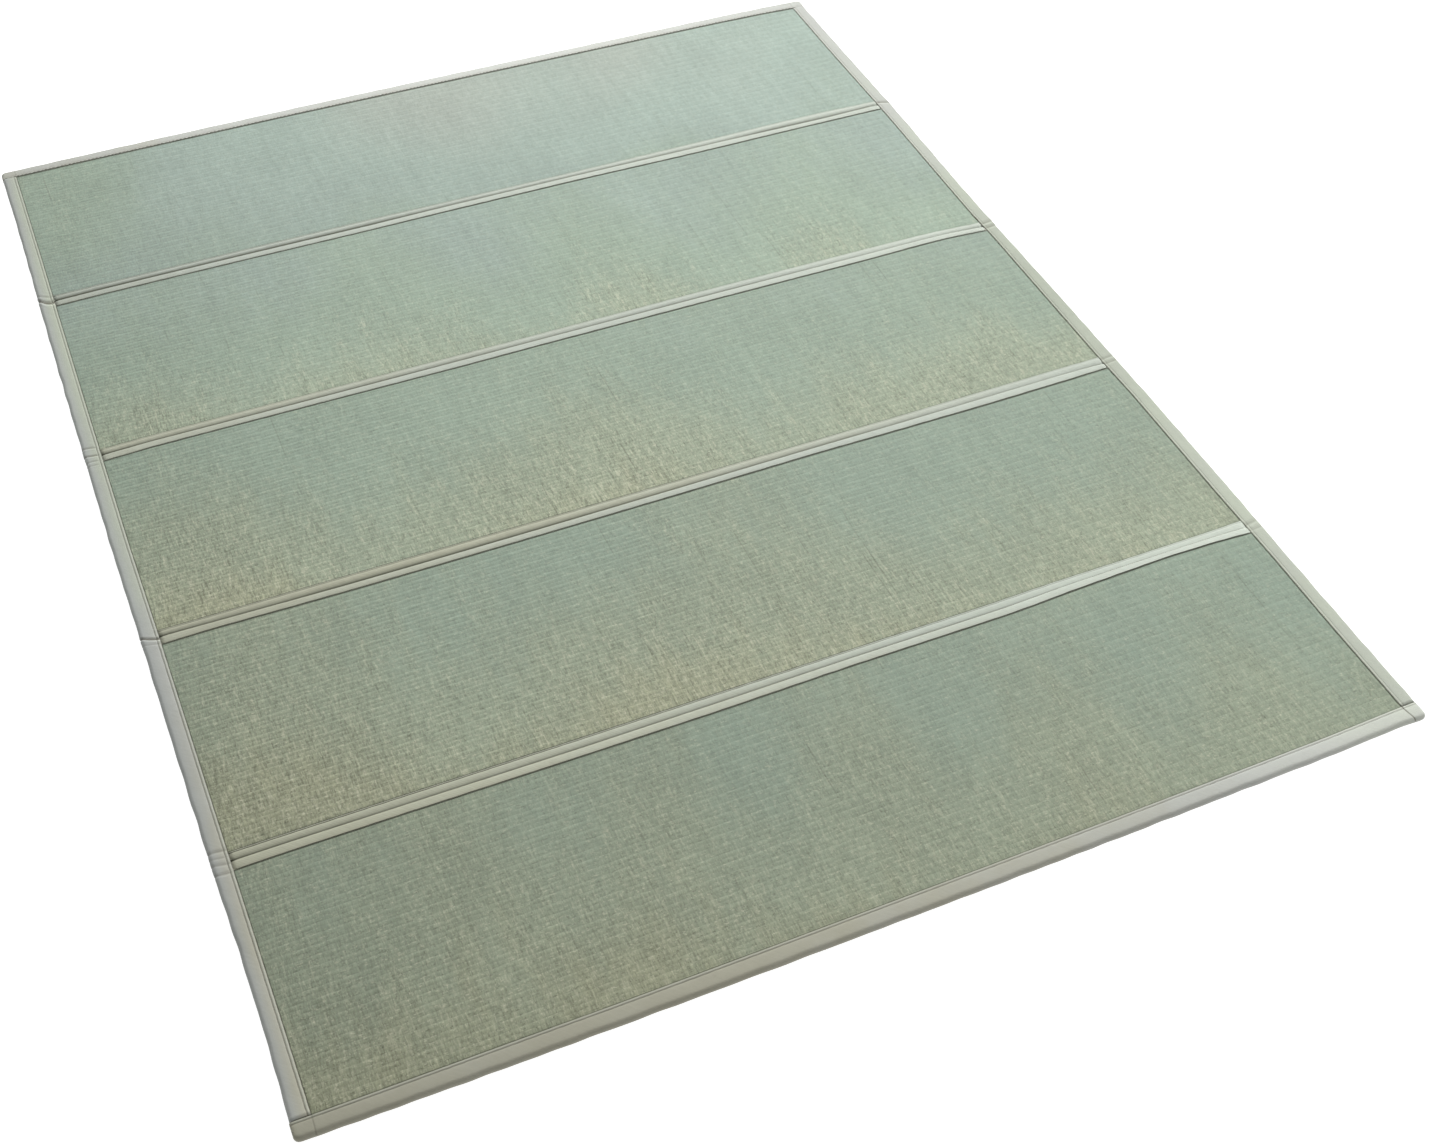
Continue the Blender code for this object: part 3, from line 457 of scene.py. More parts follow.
def fold_line(fold):
    """Place of a fold's straight line along Y; fold 0 is the far one."""
    return ((PANEL_COUNT - 2) / 2 - fold) * PANEL_PITCH + FOLD_ROW_SHIFT


def bell(distance, width):
    """1 at no distance, falling smoothly towards 0 beyond a width."""
    return np.exp(-((distance / width) ** 2))


def uneven(along, across, seed, length, terms=7):
    """Smooth unevenness between about -1 and 1: waves of about one length with set random phases."""
    rng = np.random.default_rng(seed)
    total = np.zeros(np.broadcast(along, across).shape)
    for _ in range(terms):
        wave = length * rng.uniform(0.6, 1.8)
        tilt = rng.uniform(-0.6, 0.6)
        phase = rng.uniform(0, 2 * math.pi)
        total = total + np.sin(2 * math.pi * (along + tilt * across) / wave + phase)
    return total / math.sqrt(terms)


def stacked(x, y, z):
    """Points from their three coordinates, each an array or one number."""
    return np.stack(np.broadcast_arrays(x, y, z), -1)


def grid_faces(rows, columns, start=0, close_columns=False):
    """Quads of a grid whose vertices are numbered row by row."""
    column_count = columns if close_columns else columns - 1
    i, j = np.meshgrid(np.arange(rows - 1), np.arange(column_count), indexing="ij")
    below, beside = i + 1, (j + 1) % columns
    this_row, next_row = start + i * columns, start + below * columns
    quads = np.stack([this_row + j, this_row + beside, next_row + beside, next_row + j], -1)
    return quads.reshape(-1, 4).tolist()


def tube_faces(sections, size, start=0):
    """Faces of a closed tube of equal sections, with one face over each end."""
    last = start + (sections - 1) * size
    ends = [list(range(start, start + size)), list(range(last, last + size))]
    return grid_faces(sections, size, start, close_columns=True) + ends


def add_piece(name, points, faces, finishes, face_finish=None, attributes=None):
    """A closed smooth-shaded mesh with its faces pointing out, riding on the mat."""
    mesh = bpy.data.meshes.new(name)
    mesh.from_pydata(np.asarray(points, float).reshape(-1, 3).tolist(), [], faces)
    for finish in finishes:
        mesh.materials.append(finish)
    if face_finish is not None:
        mesh.polygons.foreach_set("material_index", np.asarray(face_finish, np.int32))
    for key, values in (attributes or {}).items():
        layer = mesh.attributes.new(key, "FLOAT", "POINT")
        layer.data.foreach_set("value", np.asarray(values, np.float32).ravel())
    builder = bmesh.new()
    builder.from_mesh(mesh)
    bmesh.ops.recalc_face_normals(builder, faces=builder.faces[:])
    if builder.calc_volume(signed=True) < 0:
        bmesh.ops.reverse_faces(builder, faces=builder.faces[:])
    builder.to_mesh(mesh)
    builder.free()
    mesh.shade_smooth()
    for face in mesh.polygons:
        if len(face.vertices) > 4:
            face.use_smooth = False
    piece = bpy.data.objects.new(name, mesh)
    bpy.context.scene.collection.objects.link(piece)
    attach(piece, "root")
    return piece


class Field:
    """A node's output in a material; plain arithmetic with it adds math nodes."""

    def __init__(self, shader, socket):
        self.shader = shader
        self.socket = socket

    def math(self, operation, other=0.0):
        return self.shader.math(operation, self, other)

    def __add__(self, other):
        return self.math("ADD", other)

    def __sub__(self, other):
        return self.math("SUBTRACT", other)

    def __rsub__(self, other):
        return self.shader.math("SUBTRACT", other, self)

    def __mul__(self, other):
        return self.math("MULTIPLY", other)

    __radd__ = __add__
    __rmul__ = __mul__

    def floor(self):
        return self.math("FLOOR")


class Shader:
    """Short calls that add nodes to one material and join them."""

    def __init__(self, name, roughness, specular=0.3):
        self.material = bpy.data.materials.new(name)
        self.material.use_nodes = True
        self.tree = self.material.node_tree
        self.surface = self.tree.nodes["Principled BSDF"]
        self.surface.inputs["Roughness"].default_value = roughness
        self.surface.inputs["Specular IOR Level"].default_value = specular
        self.place = Field(self, self.tree.nodes.new("ShaderNodeTexCoord").outputs["Object"])
        axes = self.tree.nodes.new("ShaderNodeSeparateXYZ")
        self.join(self.place, axes.inputs[0])
        self.x, self.y = Field(self, axes.outputs[0]), Field(self, axes.outputs[1])

    def join(self, value, socket):
        """Link a node's output to a socket, or set the socket to a number or colour."""
        if isinstance(value, Field):
            self.tree.links.new(value.socket, socket)
        elif isinstance(value, tuple) and len(value) == 3 and socket.type == "RGBA":
            socket.default_value = (*value, 1.0)
        else:
            socket.default_value = value

    def node(self, kind, inputs, output=0, **settings):
        """A new node with its settings and its inputs, which are given by their place or name."""
        node = self.tree.nodes.new(f"ShaderNode{kind}")
        for key, value in settings.items():
            setattr(node, key, value)
        for key, value in inputs.items():
            self.join(value, node.inputs[key])
        return Field(self, node.outputs[output])

    def math(self, operation, first, second):
        return self.node("Math", {0: first, 1: second}, operation=operation)

    def step(self, value, low, high):
        """0 below low, 1 above high, smooth between."""
        inputs = {"Value": value, "From Min": low, "From Max": high}
        return self.node("MapRange", inputs, interpolation_type="SMOOTHSTEP")

    def vector(self, x, y, z=0.0):
        return self.node("CombineXYZ", {0: x, 1: y, 2: z})

    def noise(self, vector, scale=1.0, detail=2.0, roughness=0.5):
        inputs = {"Vector": vector, "Scale": scale, "Detail": detail, "Roughness": roughness}
        return self.node("TexNoise", inputs)

    def chance(self, x, y):
        """A random number for each pair of whole numbers."""
        return self.node("TexWhiteNoise", {"Vector": self.vector(x, y)}, noise_dimensions="2D")

    def mix(self, factor, first, second):
        """A mix of two colours, whose sockets on the node are numbers 6 and 7, with output number 2."""
        return self.node("Mix", {0: factor, 6: first, 7: second}, 2, data_type="RGBA")

    def scale_colour(self, colour, factor):
        """A colour made lighter or darker by a number."""
        return self.node("VectorMath", {0: colour, "Scale": factor}, operation="SCALE")

    def point_value(self, name):
        return self.node("Attribute", {}, "Fac", attribute_name=name)

    def bump(self, height, distance, strength):
        return self.node("Bump", {"Distance": distance, "Strength": strength, "Height": height})

    def finish(self, colour, normal=None):
        self.join(colour, self.surface.inputs["Base Color"])
        if normal is not None:
            self.join(normal, self.surface.inputs["Normal"])
        return self.material


def speckled(s, colour, value, share, pale, dark):
    """Rush with pale specks where a value is high and dark ones where it is low."""
    colour = s.mix(s.step(value, *pale) * share, colour, RUSH_COLOURS["pale"])
    return s.mix(s.step(value, *dark) * share, colour, RUSH_COLOURS["dark"])


def rush_finish():
    """Woven rush: fine stems along Y over and under the ribs, greener at each panel's far side, partly by a
    painted sheen, with painted shade in the rib valleys and on the left, painted light and shade over each
    panel and painted shadow at its rim.
    """
    s = Shader("rush_weave", roughness=0.62, specular=0.20)
    rib, edge, ripe_and_sheen = s.point_value("rib"), s.point_value("edge"), s.point_value("ripe_and_sheen")
    noises = {
        name: s.noise(s.vector(s.x * row.across, s.y * row.along, row.slice), 1.0, row.detail, row.roughness)
        for name, row in RUSH_NOISES.items()
    }

    # Hues in streaky patches, the bluer and greyer ones partly a painted sheen, and dry coarse rush that
    # grows towards each panel's near side
    drift = 0.7 * noises["patch"] - 0.35
    tint = drift * (0.25 * ripe_and_sheen + 0.20) + ripe_and_sheen
    colour = RUSH_COLOURS["grey"]
    for hue, low, high in RUSH_RAMP:
        colour = s.mix(s.step(tint, low, high), colour, RUSH_COLOURS[hue])
    grain = s.step(ripe_and_sheen + drift, 0.20, 0.95) * s.point_value("coarse")

    # Stems that wander a little; each rib shows the stems that dive under the next one
    stem = s.x * (1 / STEM_PITCH) + noises["wander"] * 3.0
    row = rib.floor()
    shifted = row * 0.5 + stem
    column = shifted.floor()
    dash = s.chance(column, row)
    half_dash = s.chance(column, (rib * 3.0).floor())
    roundness = (shifted.math("FRACT") * math.pi).math("SINE")

    # Streaks along the stems, painted shade on the left side, and rows and dashes that differ from the next
    light = (noises["streak"] - 0.5) * (0.60 * grain + 0.22) + 1.0
    light += 0.20 * noises["broad_streak"] - 0.10
    light += 0.20 * noises["mottle"] - 0.10
    light += 0.10 * s.step(s.x, -0.85, -0.40) - 0.09
    light += (dash - 0.5) * (0.06 * grain + 0.12)
    light += row.math("PINGPONG", 1.0) * -0.06 + 0.03
    light += (noises["dashes"] - 0.5) * 0.32
    light += (half_dash - 0.5) * (0.14 * grain)

    # Ribs: broken lines of painted shade in the valleys, faint where the rush is coarse and weaker to the
    # right
    wave = (rib * math.pi).math("SINE").math("ABSOLUTE")
    valley = 1.0 - s.step(wave, 0.0, 0.55)
    broken = s.noise(s.vector(s.x * 75.0, rib.math("ROUND") * 3.3, 1.9), detail=2.0)
    light -= valley * (s.step(broken, 0.36, 0.70) * (s.x * -0.12 + (grain * -0.07 + 0.13)))
    # Painted light and shade of each panel, given at its corners
    colour = s.scale_colour(colour, light * s.point_value("shade"))

    # Pale and dark specks and strands, and a few long dark stems
    colour = speckled(s, colour, half_dash, 0.12 * grain + 0.12, (0.86, 0.95), (0.12, 0.04))
    colour = speckled(s, colour, noises["fleck"], 0.40 * ripe_and_sheen + 0.12, (0.64, 0.74), (0.36, 0.26))
    wide_stem = (stem * 0.6).floor()
    rare = s.step(s.chance(wide_stem, (s.y * 3.0).floor()), 0.990, 0.994)
    stretch = s.step(s.noise(s.vector(wide_stem * 5.1, s.y * 9.0), detail=2.0), 0.42, 0.62)
    colour = s.mix(rare * stretch * (0.35 * ripe_and_sheen + 0.12), colour, RUSH_COLOURS["dark"])
    colour = speckled(s, colour, noises["strand"], 0.35 * grain + 0.03, (0.56, 0.72), (0.44, 0.28))
    # Painted shadow where the face goes under the cloth
    colour = s.mix(edge, colour, RUSH_COLOURS["gap"])
    height = 0.6 * roundness + 0.5 * dash - 0.4 * valley
    return s.finish(colour, s.bump(height, 0.0003, 0.6))


def backing_finish():
    """Felted cloth on the underside of the panels."""
    s = Shader("backing_felt", roughness=0.95, specular=0.1)
    fibres = s.noise(s.place, scale=420.0, detail=4.0, roughness=0.7)
    cloud = s.noise(s.place, scale=9.0, detail=3.0)
    light = (0.30 * fibres + 0.80) + (0.20 * cloud - 0.10)
    return s.finish(s.scale_colour(BACKING_COLOUR, light), s.bump(fibres, 0.0004, 0.5))


def twill(s, pitch):
    """Height of a diagonal weave and of its threads' unevenness, 0 to 1 each."""
    along = s.x + s.y
    wales = (along * (2 * math.pi / pitch)).math("SINE") * 0.5 + 0.5
    threads = s.noise(s.vector(along * 260.0, (s.x - s.y) * 45.0), detail=3.0)
    return wales, threads


def tape_finish():
    """Pale twill tape: beige on the left and cooler on the right, with painted shade in its groove and on the
    far roll's flank, a painted shadow under its near edge, and dark lines along its flange.
    """
    s = Shader("tape_twill", roughness=0.78, specular=0.25)
    wales, threads = twill(s, 0.0011)
    broad_wales, _ = twill(s, 0.0046)
    cloud = s.noise(s.vector(s.x * 14.0, s.y * 60.0), detail=2.0)
    side = s.step(s.x + s.point_value("cool") + (0.5 * cloud - 0.25), -0.75, 0.55)
    colour = s.mix(side, TAPE_COLOURS["left"], TAPE_COLOURS["right"])
    light = 0.26 * threads + 0.87
    light += 0.08 * wales - 0.04
    light += 0.12 * cloud - 0.06
    light += 0.07 * broad_wales - 0.035
    colour = s.scale_colour(colour, light * s.point_value("shade"))
    # Painted shade and shadow in the groove, on the flank, under the near edge and in the end's tuck, and the
    # flange's dark lines
    colour = s.mix(s.point_value("seam"), colour, TAPE_COLOURS["seam"])
    return s.finish(colour, s.bump(wales + 1.5 * threads, 0.00018, 0.6))


def binding_finish():
    """Smooth pale grey-green binding cloth with a fine twill, with a painted highlight on the ridge inside
    its stitch line, painted shade in its stitch groove, seam, creases and towards its outer edge, and painted
    light, shade and sheen along it.
    """
    s = Shader("binding_twill", roughness=0.70, specular=0.30)
    outer = s.point_value("outward")
    wales, threads = twill(s, 0.0010)
    cloud = s.noise(s.place, scale=11.0, detail=3.0)
    # Cooler grey is partly a painted sheen
    cool = s.point_value("cool") + (0.5 * cloud - 0.25)
    colour = s.mix(s.step(cool, 0.0, 0.5), BINDING_COLOURS["tan"], BINDING_COLOURS["grey"])
    colour = s.mix(s.step(cool, 0.5, 1.0), colour, BINDING_COLOURS["green"])
    # Greyer tint that goes with the painted shade towards the outer edge, and a painted highlight on the
    # ridge
    colour = s.mix(s.step(outer, 0.25, 0.90) * 0.85, colour, BINDING_COLOURS["outer"])
    colour = s.mix(s.point_value("ridge") * 0.8, colour, BINDING_COLOURS["ridge"])
    light = 0.14 * threads + 0.93
    light += 0.06 * wales - 0.03
    light += 0.14 * cloud - 0.07
    # Painted shade towards the outer edge, then painted light and shade along the binding
    light += outer * -0.08 + 0.04
    colour = s.scale_colour(colour, light * s.point_value("shade"))
    # Painted shade in the stitch groove, at the seam's lip, in the creases and corner seams, and a painted
    # shadow where the right seam opens
    colour = s.mix(s.point_value("seam"), colour, BINDING_COLOURS["seam"])
    return s.finish(colour, s.bump(wales + threads, 0.00012, 0.5))


def thread_finish():
    """Twisted sewing thread, from pale to dark by each stitch's own tone."""
    s = Shader("sewing_thread", roughness=0.65, specular=0.3)
    twist = s.noise(s.place, scale=2600.0, detail=1.0)
    colour = s.mix(s.point_value("tone"), THREAD_PALE, THREAD_DARK)
    return s.finish(s.scale_colour(colour, 0.5 * twist + 0.75), s.bump(twist, 0.0002, 0.6))


class PanelOutline:
    """Where a panel's rim, face and underside end on each of its four sides."""

    def __init__(self, panel):
        self.folds = {"near": panel, "far": panel - 1}
        if panel == 0:
            self.folds["far"] = None
        if panel == PANEL_COUNT - 1:
            self.folds["near"] = None

    def end_line(self, end, along, part="groove"):
        """Y of the panel's near or far end: a binding's outer edge or seam, or a tape's groove or edge."""
        fold = self.folds[end]
        if fold is None:
            return SIGNS[end] * EDGES[end]["seam" if part == "face" else "outer"](along)
        return fold_line(fold) + FOLDS[fold][OPPOSITE[end] if part == "face" else "groove"](along)

    def end_y(self, end, along, kind="face", inset=0.0, corner_share=0.0):
        """Y of one of the panel's loops at its near or far end."""
        at_fold = self.folds[end] is not None
        inward = -SIGNS[end]
        if kind == "face":
            flange = FLANGE_WIDTH if at_fold and end == "near" else 0.0
            return self.end_line(end, along, "face") + inward * (SEAM_GAP + flange)
        if kind == "under" and at_fold:
            return self.end_line(end, along) + inward * (UNDER_TAPE_HALF + SEAM_GAP)
        if kind == "under":
            return self.end_line(end, along, "face") + inward * SEAM_GAP
        clearance = WEB_HALF + PIECE_GAP
        if not at_fold:
            clearance = BINDING_THICKNESS + RIM_CLEARANCE + CORNER_EASE_Y * corner_share
        return self.end_line(end, along) + inward * (clearance + inset)

    def side_x(self, side, along, kind="face", inset=0.0, corner_share=0.0):
        """X of one of the panel's loops on its left or right side."""
        if kind in ("face", "under"):
            return SIGNS[side] * (EDGES[side]["seam"](along) - SEAM_GAP)
        clearance = BINDING_THICKNESS + RIM_CLEARANCE + inset + CORNER_EASE_X * corner_share
        return SIGNS[side] * (EDGES[side]["outer"](along) - clearance)

    def corner(self, side, end, kind="face", inset=0.0):
        """Corner of a loop; the mat's own corners are eased to fit the end bindings' sewn pockets."""
        share = 1.0 if self.folds[end] is None and kind == "rim" else 0.0
        y = self.end_line(end, 0.0)
        for _ in range(CORNER_PASSES):
            x = self.side_x(side, y, kind, inset, share)
            y = self.end_y(end, x, kind, inset, share)
        return float(x), float(y)

    def ease(self, end, distance):
        """Share of the corner's easing at a distance from it; only the mat's own corners have any."""
        if self.folds[end] is not None:
            return np.zeros_like(distance)
        return np.clip(1 - distance / CORNER_TAPER, 0, 1)

    def ring(self, kind, inset, height, across, lengthways):
        """One loop round the panel: near, right, far and left side, at set shares of each side's length."""
        parts = []
        for name in ("near", "right", "far", "left"):
            is_end = name in OPPOSITE
            shares = across if is_end else lengthways
            shares = shares[:-1] if name in ("near", "right") else shares[:0:-1]
            if is_end:
                left, right = (self.corner(side, name, kind, inset)[0] for side in ("left", "right"))
                x = left + shares * (right - left)
                y = self.end_y(name, x, kind, inset, self.ease(name, np.minimum(x - left, right - x)))
            else:
                near, far = (self.corner(name, end, kind, inset)[1] for end in ("near", "far"))
                y = near + shares * (far - near)
                ease = np.maximum(self.ease("near", y - near), self.ease("far", far - y))
                x = self.side_x(name, y, kind, inset, ease)
            parts.append(stacked(x, y, height))
        return np.concatenate(parts)


def panel_shares(width):
    """Shares of a panel's width for its columns, close together at both sides."""
    side = np.array(SIDE_COLUMNS) * MM / width
    middle = np.linspace(side[-1], 1 - side[-1], PANEL_COLUMNS)
    return np.concatenate([side[:-1], middle, 1 - side[-2::-1]])


def panel_rows(outline, x):
    """Y of the rush face's rows for each column, and where its ribs start."""
    near, far = outline.end_y("near", x), outline.end_y("far", x)
    low, high = near.max() + RIB_MARGIN, far.min() - RIB_MARGIN
    count = int((high - low) / RIB_PITCH)
    start = (low + high - count * RIB_PITCH) / 2
    shares = [(rib + share) * RIB_PITCH + start for rib in range(count) for share in RIB_SHARES]
    straight = np.array([*shares, start + count * RIB_PITCH])
    margin_near = int((straight[0] - near.min()) / MARGIN_ROW_SPACING) + 2
    margin_far = int((far.max() - straight[-1]) / MARGIN_ROW_SPACING) + 2
    rows = [near + (straight[0] - near) * k / margin_near for k in range(margin_near)]
    rows += [np.full(len(x), y) for y in straight]
    rows += [straight[-1] + (far - straight[-1]) * (k + 1) / margin_far for k in range(margin_far)]
    return np.array(rows), start


def between_corners(row, rightness, nearness):
    """A value between those at a panel's four corners and far middle."""
    at_far = row.far_left + (row.far_right - row.far_left) * rightness
    at_far = at_far + row.middle * np.sin(math.pi * rightness)
    at_near = row.near_left + (row.near_right - row.near_left) * rightness
    return at_far + (at_near - at_far) * nearness


def panel_height(panel, x, y, rib, to_rim):
    """Height of the rush face: round crests between narrow valleys, uneven, and pressed down at the rim."""
    number = np.floor(rib).astype(int)
    taller_at_left = 0.80 - 0.60 * x
    rise = np.array(RIB_HEIGHTS)[number % 2] * RIB_SHARE_OF_PANELS[panel] * taller_at_left
    rise = rise * np.clip(1 + RIB_UNEVENNESS * uneven(x, number * 0.37, 60 + panel, 0.032), 0.1, 2.0)
    crest = np.abs(np.sin(math.pi * rib)) ** RIB_ROUNDNESS
    pressed = np.exp(-to_rim / RIM_PRESS_REACH)
    z = FACE_HEIGHT + rise * crest * (1 - 0.75 * pressed) + 0.00008 * uneven(x, y, 80 + panel, 0.09)
    return z - 0.00010 * pressed


def panel_shadow_lines(panel, x, y, to_left, to_right):
    """Painted shadow lines where the face goes under the cloth: strong below a fold tape, broken at the
    sides.
    """
    broken = np.clip(0.5 + 0.5 * uneven(y, x, 90 + panel, 0.02), 0, 1)
    near_shadow = NEAR_SHADOW_LINES[panel] * np.clip(0.85 - 0.5 * x, 0.5, 1)
    side_shadow = (0.40 + 0.50 * broken) * np.where(to_left < to_right, 1.0, RIGHT_SHADOW_LINES[panel])
    edge = np.maximum(bell(y[-1] - y, FAR_SHADOW_WIDTHS[panel]), near_shadow * bell(y - y[0], NEAR_SHADOW_WIDTH))
    return np.maximum(edge, side_shadow * bell(np.minimum(to_left, to_right), SIDE_SHADOW_WIDTH))


def add_panel(panel, rush, backing):
    """Rush-faced pad: ribbed woven face, rounded rim and recess under the cloth, felted underside."""
    outline = PanelOutline(panel)
    corner_left, corner_right = (outline.corner(side, "near")[0] for side in ("left", "right"))
    across = panel_shares(corner_right - corner_left)
    y, start = panel_rows(outline, corner_left + across * (corner_right - corner_left))
    left, right = outline.side_x("left", y), outline.side_x("right", y)
    x = left + across * (right - left)
    rib = (y - start) / RIB_PITCH
    rib = rib + 0.035 * uneven(x, y * 9, 40 + panel, 0.11) + 0.05 * uneven(x, y * 30, 45 + panel, 0.040)
    to_rim = np.minimum(np.minimum(x - left, right - x), np.minimum(y - y[0], y[-1] - y))
    top = stacked(x, y, panel_height(panel, x, y, rib, to_rim))
    nearness = 1 - (y - y[0]) / (y[-1] - y[0])
    rightness = (x - left) / (right - left)
    ripe_and_sheen = between_corners(RIPE_AND_SHEEN_ROWS[panel], rightness, nearness**1.6) + 0.07 * uneven(x, y, 70 + panel, 0.45)
    # Vertex values: the rib's place, painted shadow lines at the rim, a hue that is partly a painted sheen,
    # and painted light and shade
    values = {
        "rib": rib,
        "edge": panel_shadow_lines(panel, x, y, x - left, right - x),
        "ripe_and_sheen": ripe_and_sheen,
        "shade": between_corners(LIGHT_SHARES[panel], rightness, nearness**2.5),
    }

    rows, columns = y.shape
    lengthways = (y[:, 0] - y[0, 0]) / (y[-1, 0] - y[0, 0])
    rings = [outline.ring("face", 0.0, THICKNESS - RECESS_DEPTH, across, lengthways)]
    for angle in PANEL_RIM_ANGLES:
        inset = PANEL_RIM_RADIUS * (1 - math.cos(math.radians(angle)))
        height = THICKNESS / 2 + PANEL_RIM_RADIUS * math.sin(math.radians(angle))
        rings.append(outline.ring("rim", inset, height, across, lengthways))
    rings += [outline.ring("under", 0.0, height, across, lengthways) for height in (RECESS_DEPTH, 0.0)]
    index = np.arange(rows * columns).reshape(rows, columns)
    rim_of_top = np.concatenate([index[0, :-1], index[:-1, -1], index[-1, :0:-1], index[:0:-1, 0]])
    first, size = rows * columns, len(rim_of_top)
    faces = grid_faces(rows, columns)
    woven_faces = len(faces)
    for i in range(size):
        j = (i + 1) % size
        faces.append([int(rim_of_top[i]), int(rim_of_top[j]), first + j, first + i])
    faces += grid_faces(len(rings), size, start=first, close_columns=True)
    last = first + (len(rings) - 1) * size
    faces.append(list(range(last, last + size)))
    face_finish = np.ones(len(faces), np.int32)
    face_finish[:woven_faces] = 0
    hidden = len(rings) * size
    attributes = {
        key: np.pad(value.ravel(), (0, hidden), constant_values=1.0 if key == "shade" else 0.0)
        for key, value in values.items()
    }
    attributes["coarse"] = np.full(y.size + hidden, COARSE_SHARES[panel])
    points = np.concatenate([top.reshape(-1, 3), *rings])
    piece = add_piece(f"rush_panel_{panel + 1}", points, faces, [rush, backing], face_finish, attributes)
    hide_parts(f"panel_{panel + 1}")


def tape_span(fold):
    """Left and right end of a fold tape, just inside the side bindings' seams."""
    places = fold_line(fold) + np.array(TAPE_REACH_OFFSETS) * MM
    left = -EDGES["left"]["seam"](places).min() + SEAM_GAP
    right = EDGES["right"]["seam"](places).min() - SEAM_GAP
    return left, right


def add_fold_tape(fold, finish):
    """Twill tape sewn over a fold: two rolls, a groove, a thin flange, and its web and under leaf."""
    line, curves, tape = fold_line(fold), FOLDS[fold], TAPE_ROWS[fold]
    left, right = tape_span(fold)
    x = np.linspace(left, right, int((right - left) / TAPE_SPACING) + 1)
    near, groove, far = (line + curves[name](x) for name in ("near", "groove", "far"))
    near = near + TAPE_NEAR_WANDER * uneven(x, 0, 200 + fold, 0.030)
    far = far + TAPE_FAR_WANDER * uneven(x, 0, 210 + fold, 0.025)
    pucker = TAPE_PUCKER * uneven(x, 0, 220 + fold, 0.010, terms=9)
    tuck = bell(x - left, GROOVE_END_LENGTH)
    depth = curves["depth"](x) + GROOVE_END_DROP * tuck
    crown = THICKNESS - TAPE_END_DROP * np.clip(1 - np.minimum(x - left, right - x) / TAPE_END_LENGTH, 0, 1)
    # Painted shade in the groove, by its depth and less of it to the right
    groove_shade = np.clip(depth / DEEPEST_GROOVE, 0, 1) * np.interp(x, (0.30, 0.75), (1.0, tape.right_groove))
    line_dark = tape.flange * np.clip(0.75 - 0.5 * x, 0.4, 1)

    # Rows of the section round the tape: their place along Y, height and darkness, which is painted shadow
    # under the near edge, painted shade in the groove, on the far roll's flank and in the tuck at the left
    # end, and the dark lines of the flange
    ring = [(near, ROLL_EDGE_HEIGHT - 0.0002, 0.95), (near + 0.0001, ROLL_EDGE_HEIGHT + 0.0003, 0.85)]
    for row in reversed(ROLL_ROWS):
        dark = np.maximum(0.80 * bell(row.share, 0.07) * groove_shade, 0.80 * bell(1 - row.share, 0.045))
        dark = np.maximum(dark, 0.95 * tuck * bell(row.share, 0.12))
        height = crown - row.near_drop * depth + pucker * math.sin(math.pi * row.share)
        ring.append((groove + row.share * (near - groove), height, dark))
    far_start = len(ring)
    for row in ROLL_ROWS[1:]:
        dark = 0.80 * bell(row.share, 0.13) + tape.flank * bell(row.share, 0.40)
        dark = np.maximum(np.clip(dark, 0, 0.85) * groove_shade, 0.95 * tuck * bell(row.share, 0.25))
        height = crown - row.far_drop * depth - pucker * math.sin(math.pi * row.share)
        ring.append((groove + row.share * (far - groove), height, dark))
    under_edge = THICKNESS - TAPE_THICKNESS
    ring += [
        (far - 0.0001, ROLL_EDGE_HEIGHT + 0.0005, 0.5 * line_dark),
        (far + 0.0003, ROLL_EDGE_HEIGHT + 0.0002, line_dark),
        (far + 0.0012, FLANGE_TOP - 0.0001, line_dark),
        (far + 0.0018, FLANGE_TOP, 0.0),
        (far + FLANGE_WIDTH - 0.0006, FLANGE_TOP + 0.0001, 0.0),
        (far + FLANGE_WIDTH, FLANGE_TOP - 0.0002, line_dark),
        (far + FLANGE_WIDTH, under_edge, 0.0),
    ]
    far_end = len(ring)
    ring += [(groove + row.distance * MM, row.height * MM, 0.0) for row in WEB_ROWS]
    ring += [(groove - row.distance * MM, row.height * MM, 0.0) for row in reversed(WEB_ROWS)]
    ring.append((near, under_edge, 0.0))

    y, z, seam = (np.stack([np.broadcast_to(row[k], x.shape) for row in ring], -1) for k in range(3))
    cool = np.full(seam.shape, tape.near_cool)
    cool[:, far_start:far_end] = tape.far_cool
    shade = np.interp(x, TAPE_SHADE_PLACES, tape[:4])
    attributes = {"seam": seam, "shade": np.broadcast_to(shade[:, None], seam.shape), "cool": cool}
    points = stacked(x[:, None], y, z)
    piece = add_piece(f"fold_tape_cloth_{fold + 1}", points, tube_faces(*y.shape), [finish], None, attributes)
    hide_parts(f"fold_tape_{fold + 1}")
    return piece


def binding_profile():
    """Outer and inner profile of a binding's section as rows of (measured_from, distance, height)."""
    outer = [(row.measured_from, row.distance * MM, row.height * MM) for row in BINDING_TOP_ROWS]
    radius = THICKNESS / 2
    for step in range(EDGE_ARC_STEPS + 1):
        angle = math.pi / 2 - math.pi * step / EDGE_ARC_STEPS
        outer.append(("edge", radius * (1 - math.cos(angle)), radius + radius * math.sin(angle)))
    for step in range(1, UNDER_POINTS + 1):
        outer.append(("seam", (1 - step / UNDER_POINTS) * UNDER_LEAF_WIDTH, 0.0))
    inner = [("seam", LIP_BEVEL, BINDING_THICKNESS)]
    radius -= BINDING_THICKNESS
    for step in range(INNER_ARC_STEPS + 1):
        angle = -math.pi / 2 + math.pi * step / INNER_ARC_STEPS
        distance = BINDING_THICKNESS + radius * (1 - math.cos(angle))
        inner.append(("edge", distance, THICKNESS / 2 + radius * math.sin(angle)))
    inner.append(("seam", LIP_BEVEL, THICKNESS - BINDING_THICKNESS))
    return outer, inner


